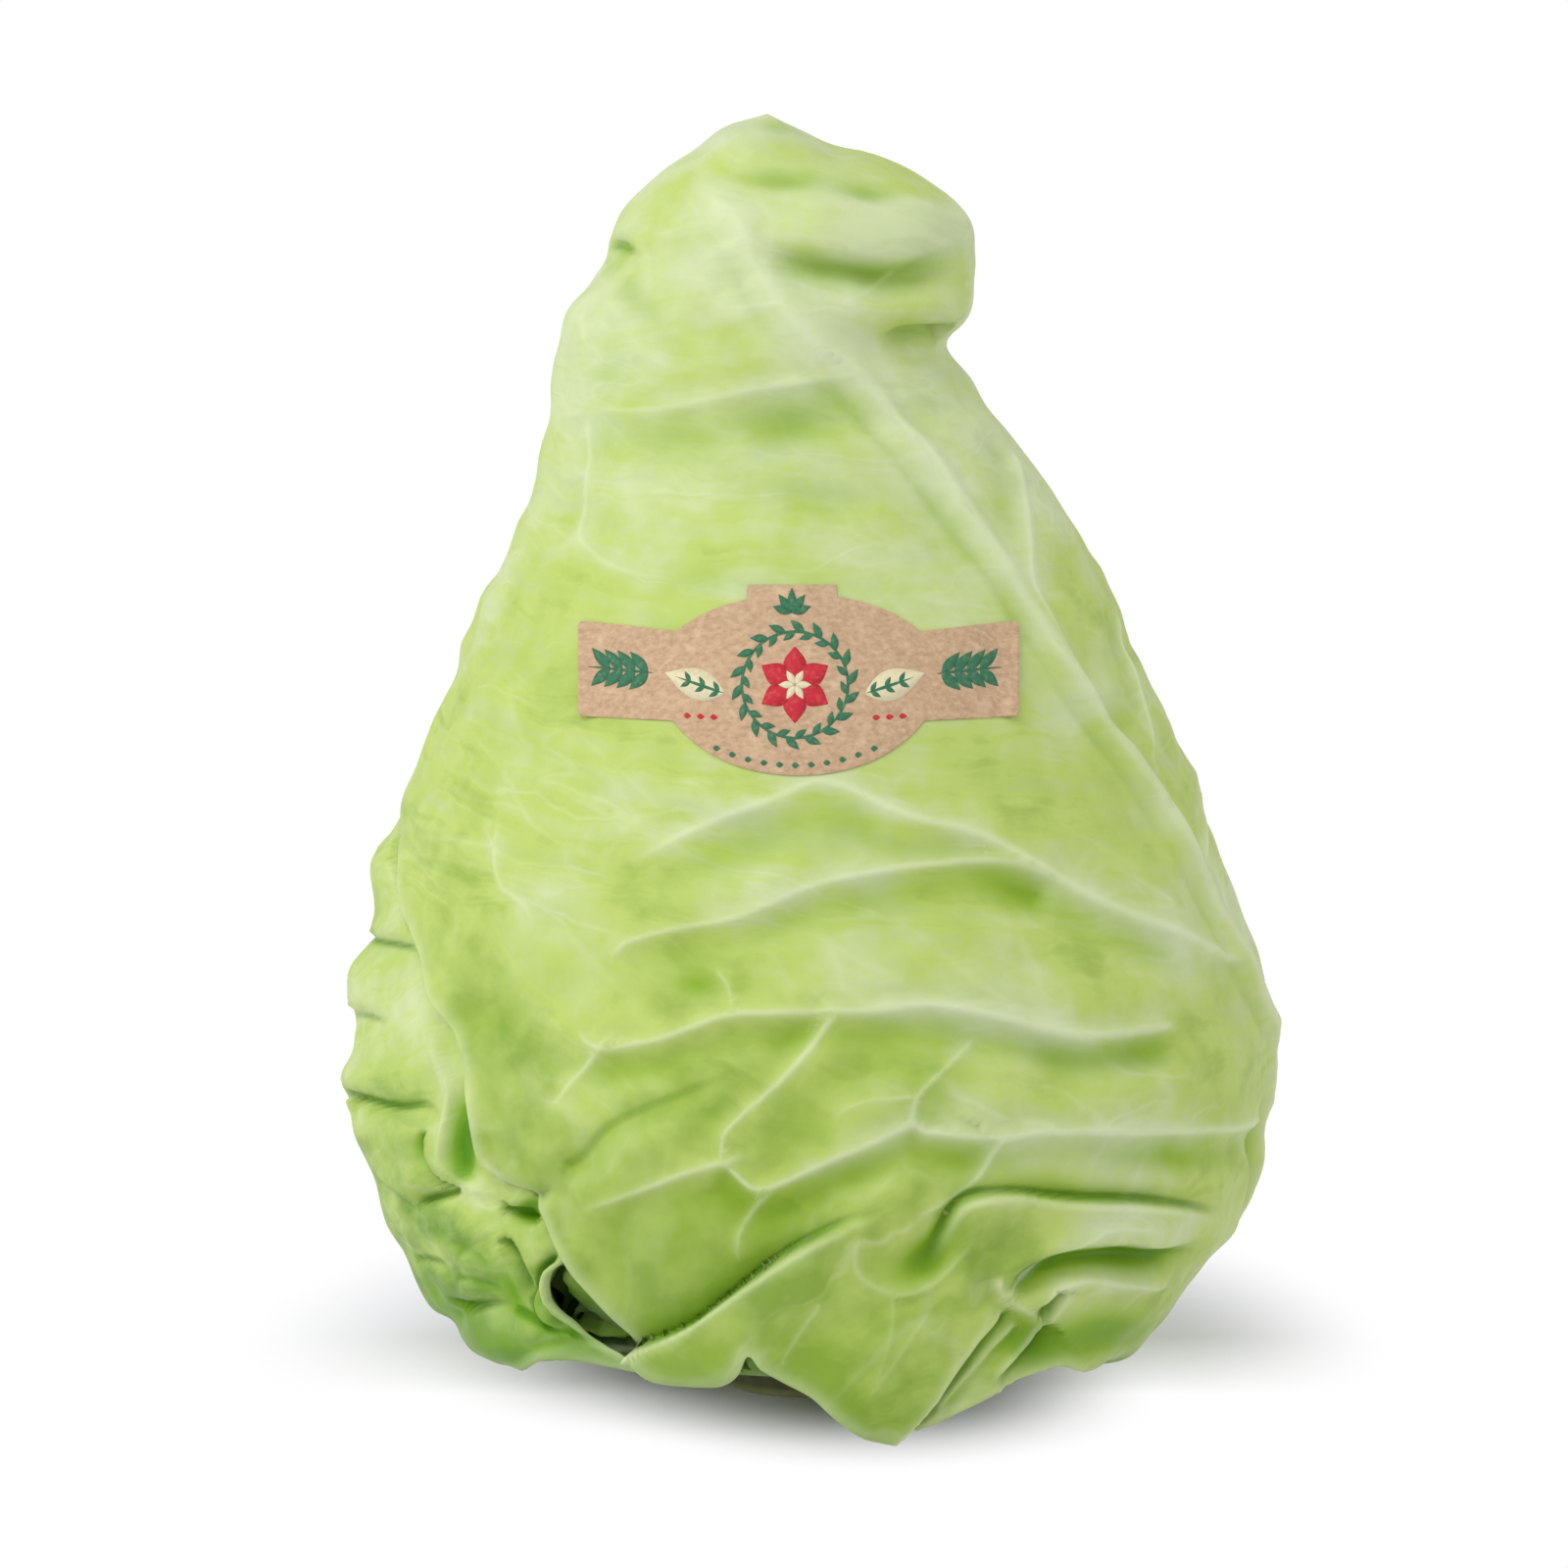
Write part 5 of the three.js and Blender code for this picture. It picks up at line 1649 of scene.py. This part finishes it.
def kraftPaper():
    # Brown kraft paper, uncoated: matt, with darker and paler fibres a few millimetres long
    material, tree = newMaterial("kraftPaper")
    place = addNode(tree, "TexCoord").outputs["Object"]
    longways = addNode(tree, "Mapping", {"Vector": place, "Scale": (0.7, 1, 1.2)})
    fibres = {"Vector": longways, "Scale": 1 / 0.0009, "Detail": 4, "Roughness": 0.65}
    fibres = addNode(tree, "TexNoise", fibres)
    flecks = addNode(tree, "TexNoise", {"Vector": place, "Scale": 1 / 0.0022, "Detail": 2})
    brown = addNode(tree, "ValToRGB", (fibres,), stops=((0.3, "#b09070"), (0.7, "#d0b18e")))
    light = addNode(tree, "MapRange", (flecks, 0.55, 0.75, 0, 0.5))
    over = {0: light, 6: brown, 7: linearColour("#dcc19d")}
    colour = addNode(tree, "Mix", over, data_type="RGBA").outputs[2]
    bump = addNode(tree, "Bump", {"Strength": 0.35, "Distance": 0.00008, "Height": fibres})
    paper = {"Base Color": colour, "Roughness": 0.86, "IOR": 1.5, "Normal": bump}
    addNode(tree, "OutputMaterial", {"Surface": addNode(tree, "BsdfPrincipled", paper)})
    return material


def printingInk(name, full, thin):
    # Flexographic ink on kraft, a thin dry film that lets a little of the paper's grain through
    material, tree = newMaterial(name)
    place = addNode(tree, "TexCoord").outputs["Object"]
    grain = addNode(tree, "TexNoise", {"Vector": place, "Scale": 1 / 0.0007, "Detail": 3})
    colour = addNode(tree, "ValToRGB", (grain,), stops=((0.5, full), (0.78, thin)))
    film = {"Base Color": colour, "Roughness": 0.7, "IOR": 1.5}
    addNode(tree, "OutputMaterial", {"Surface": addNode(tree, "BsdfPrincipled", film)})
    return material


labelPiece.data.materials.append(kraftPaper())
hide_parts("paper_label")
inkShapes(printedFlower(), "label_print_red", printingInk("redInk", "#c2182e", "#c9504a"))
inkShapes(paleShapes(), "label_print_cream", printingInk("creamInk", "#e0d7b0", "#d8c59c"), 0.02)
inkShapes(printedLeaves(), "label_print_green", printingInk("greenInk", "#2c6e4c", "#5f8560"), 0.04)
print("label")


studio = {
    "floorHalf": 3.0,
    # middles and half sizes of where the board's shadow shows: in all, the part in front where the
    # board glows white over the shadow under the head as painted light, and the part under the flap
    # where that painted light stops again
    "shadow": ((0.0, 0.03), (0.10, 0.15)),
    "paintedLight": ((-0.005, 0.02), (0.054, 0.06)),
    "shaded": ((0.010, -0.008), (0.045, 0.062)),
    # faintly violet as painted light: it cancels the green light that the leaves bounce onto the board
    "board": "#f0eef7",
    "sky": 0.70,
    "key": 5.4,
    "left": 2.7,
    "right": 1.3,
}


def seenThrough(tree, *kinds):
    # 1 for the rays that show a thing to the camera, and 0 for the ones that light it
    rays = addNode(tree, "LightPath")
    share = rays.outputs["Is Camera Ray"]
    for kind in kinds:
        share = addNode(tree, "Math", (share, rays.outputs[kind]), operation="MAXIMUM")
    return share


def buildFloor():
    half = studio["floorHalf"]
    mesh = bpy.data.meshes.new("studio_floor")
    corners = [(-half, -half, 0), (half, -half, 0), (half, half, 0), (-half, half, 0)]
    mesh.from_pydata(corners, [], [(0, 1, 2, 3)])
    floor = bpy.data.objects.new("studio_floor", mesh)
    bpy.context.scene.collection.objects.link(floor)
    material, tree = newMaterial("whiteBoard")
    # matt white board, which the camera sees go to plain white away from the object, and glow white
    # over its shadow in front of the head as painted light
    place = addNode(tree, "TexCoord").outputs["Object"]
    # 0 inside an ellipse on the board and 1 outside it
    outside = {}
    for key, begin, end in (("shadow", 0.62, 1.0), ("paintedLight", 0.2, 1.25), ("shaded", 0.1, 1.1)):
        middle, halves = studio[key]
        moved = addNode(tree, "VectorMath", (place, (*middle, 0)), operation="SUBTRACT")
        scaled = addNode(tree, "VectorMath", (moved, (*halves, 1)), operation="DIVIDE")
        distance = addNode(tree, "VectorMath", (scaled,), operation="LENGTH").outputs["Value"]
        limits = (distance, begin, end, 0.0, 1.0)
        outside[key] = addNode(tree, "MapRange", limits, interpolation_type="SMOOTHSTEP")
    # painted light: in front of the head the board glows white over its real shadow, as if light reached
    # under the head
    y = addNode(tree, "SeparateXYZ", (place,)).outputs["Y"]
    paintedLight = addNode(tree, "MapRange", (y, 0.04, -0.01, 0.0, 1.0))
    for key in ("paintedLight", "shaded"):
        paintedLight = addNode(tree, "Math", (paintedLight, outside[key]), operation="MULTIPLY")
    withoutPaintedLight = addNode(tree, "Math", (1.0, paintedLight), operation="SUBTRACT")
    inShadow = addNode(tree, "Math", (1.0, outside["shadow"]), operation="SUBTRACT")
    kept = addNode(tree, "Math", (inShadow, withoutPaintedLight), operation="MULTIPLY")
    fade = addNode(tree, "Math", (1.0, kept), operation="SUBTRACT")
    shown = seenThrough(tree, "Is Glossy Ray", "Is Transmission Ray")
    share = addNode(tree, "Math", (fade, shown), operation="MULTIPLY")
    board = addNode(tree, "BsdfDiffuse", {"Color": linearColour(studio["board"]), "Roughness": 0.0})
    white = addNode(tree, "Emission", {"Color": (1, 1, 1, 1), "Strength": 1.0})
    addNode(tree, "OutputMaterial", {"Surface": addNode(tree, "MixShader", (share, board, white))})
    mesh.materials.append(material)


def buildSky():
    world = bpy.data.worlds.new("studio")
    world.use_nodes = True
    tree = world.node_tree
    tree.nodes.clear()
    shown = seenThrough(tree, "Is Transmission Ray")
    strength = addNode(tree, "MapRange", (shown, 0.0, 1.0, studio["sky"], 1.0))
    sky = addNode(tree, "Background", {"Color": (1, 1, 1, 1), "Strength": strength})
    addNode(tree, "OutputWorld", {"Surface": sky})
    bpy.context.scene.world = world


def softBox(name, place, aim, size, power):
    lamp = bpy.data.lights.new(name, "AREA")
    lamp.size = size
    lamp.energy = power
    piece = bpy.data.objects.new(name, lamp)
    piece.location = place
    piece.rotation_euler = (Vector(aim) - Vector(place)).to_track_quat("-Z", "Y").to_euler()
    bpy.context.scene.collection.objects.link(piece)


buildFloor()
buildSky()
softBox("soft_box_key", (-0.5, -0.7, 1.15), (0, 0, 0.1), 0.6, studio["key"])
softBox("soft_box_left", (-1.0, -0.25, 0.45), (0, 0, 0.1), 0.7, studio["left"])
softBox("soft_box_right", (0.9, -0.5, 0.8), (0, 0, 0.16), 0.5, studio["right"])
print("studio")

sensorWidth = 36
camera = bpy.data.objects.new("camera", bpy.data.cameras.new("camera"))
camera.data.sensor_width = sensorWidth
camera.data.lens = sensorWidth * view["distance"] / view["frameWidth"]
camera.location = Vector(toWorld(viewEye))
camera.rotation_euler = Vector(viewBack).to_track_quat("Z", "Y").to_euler()
bpy.context.scene.collection.objects.link(camera)
bpy.context.scene.camera = camera
bpy.context.scene.view_settings.view_transform = "Standard"
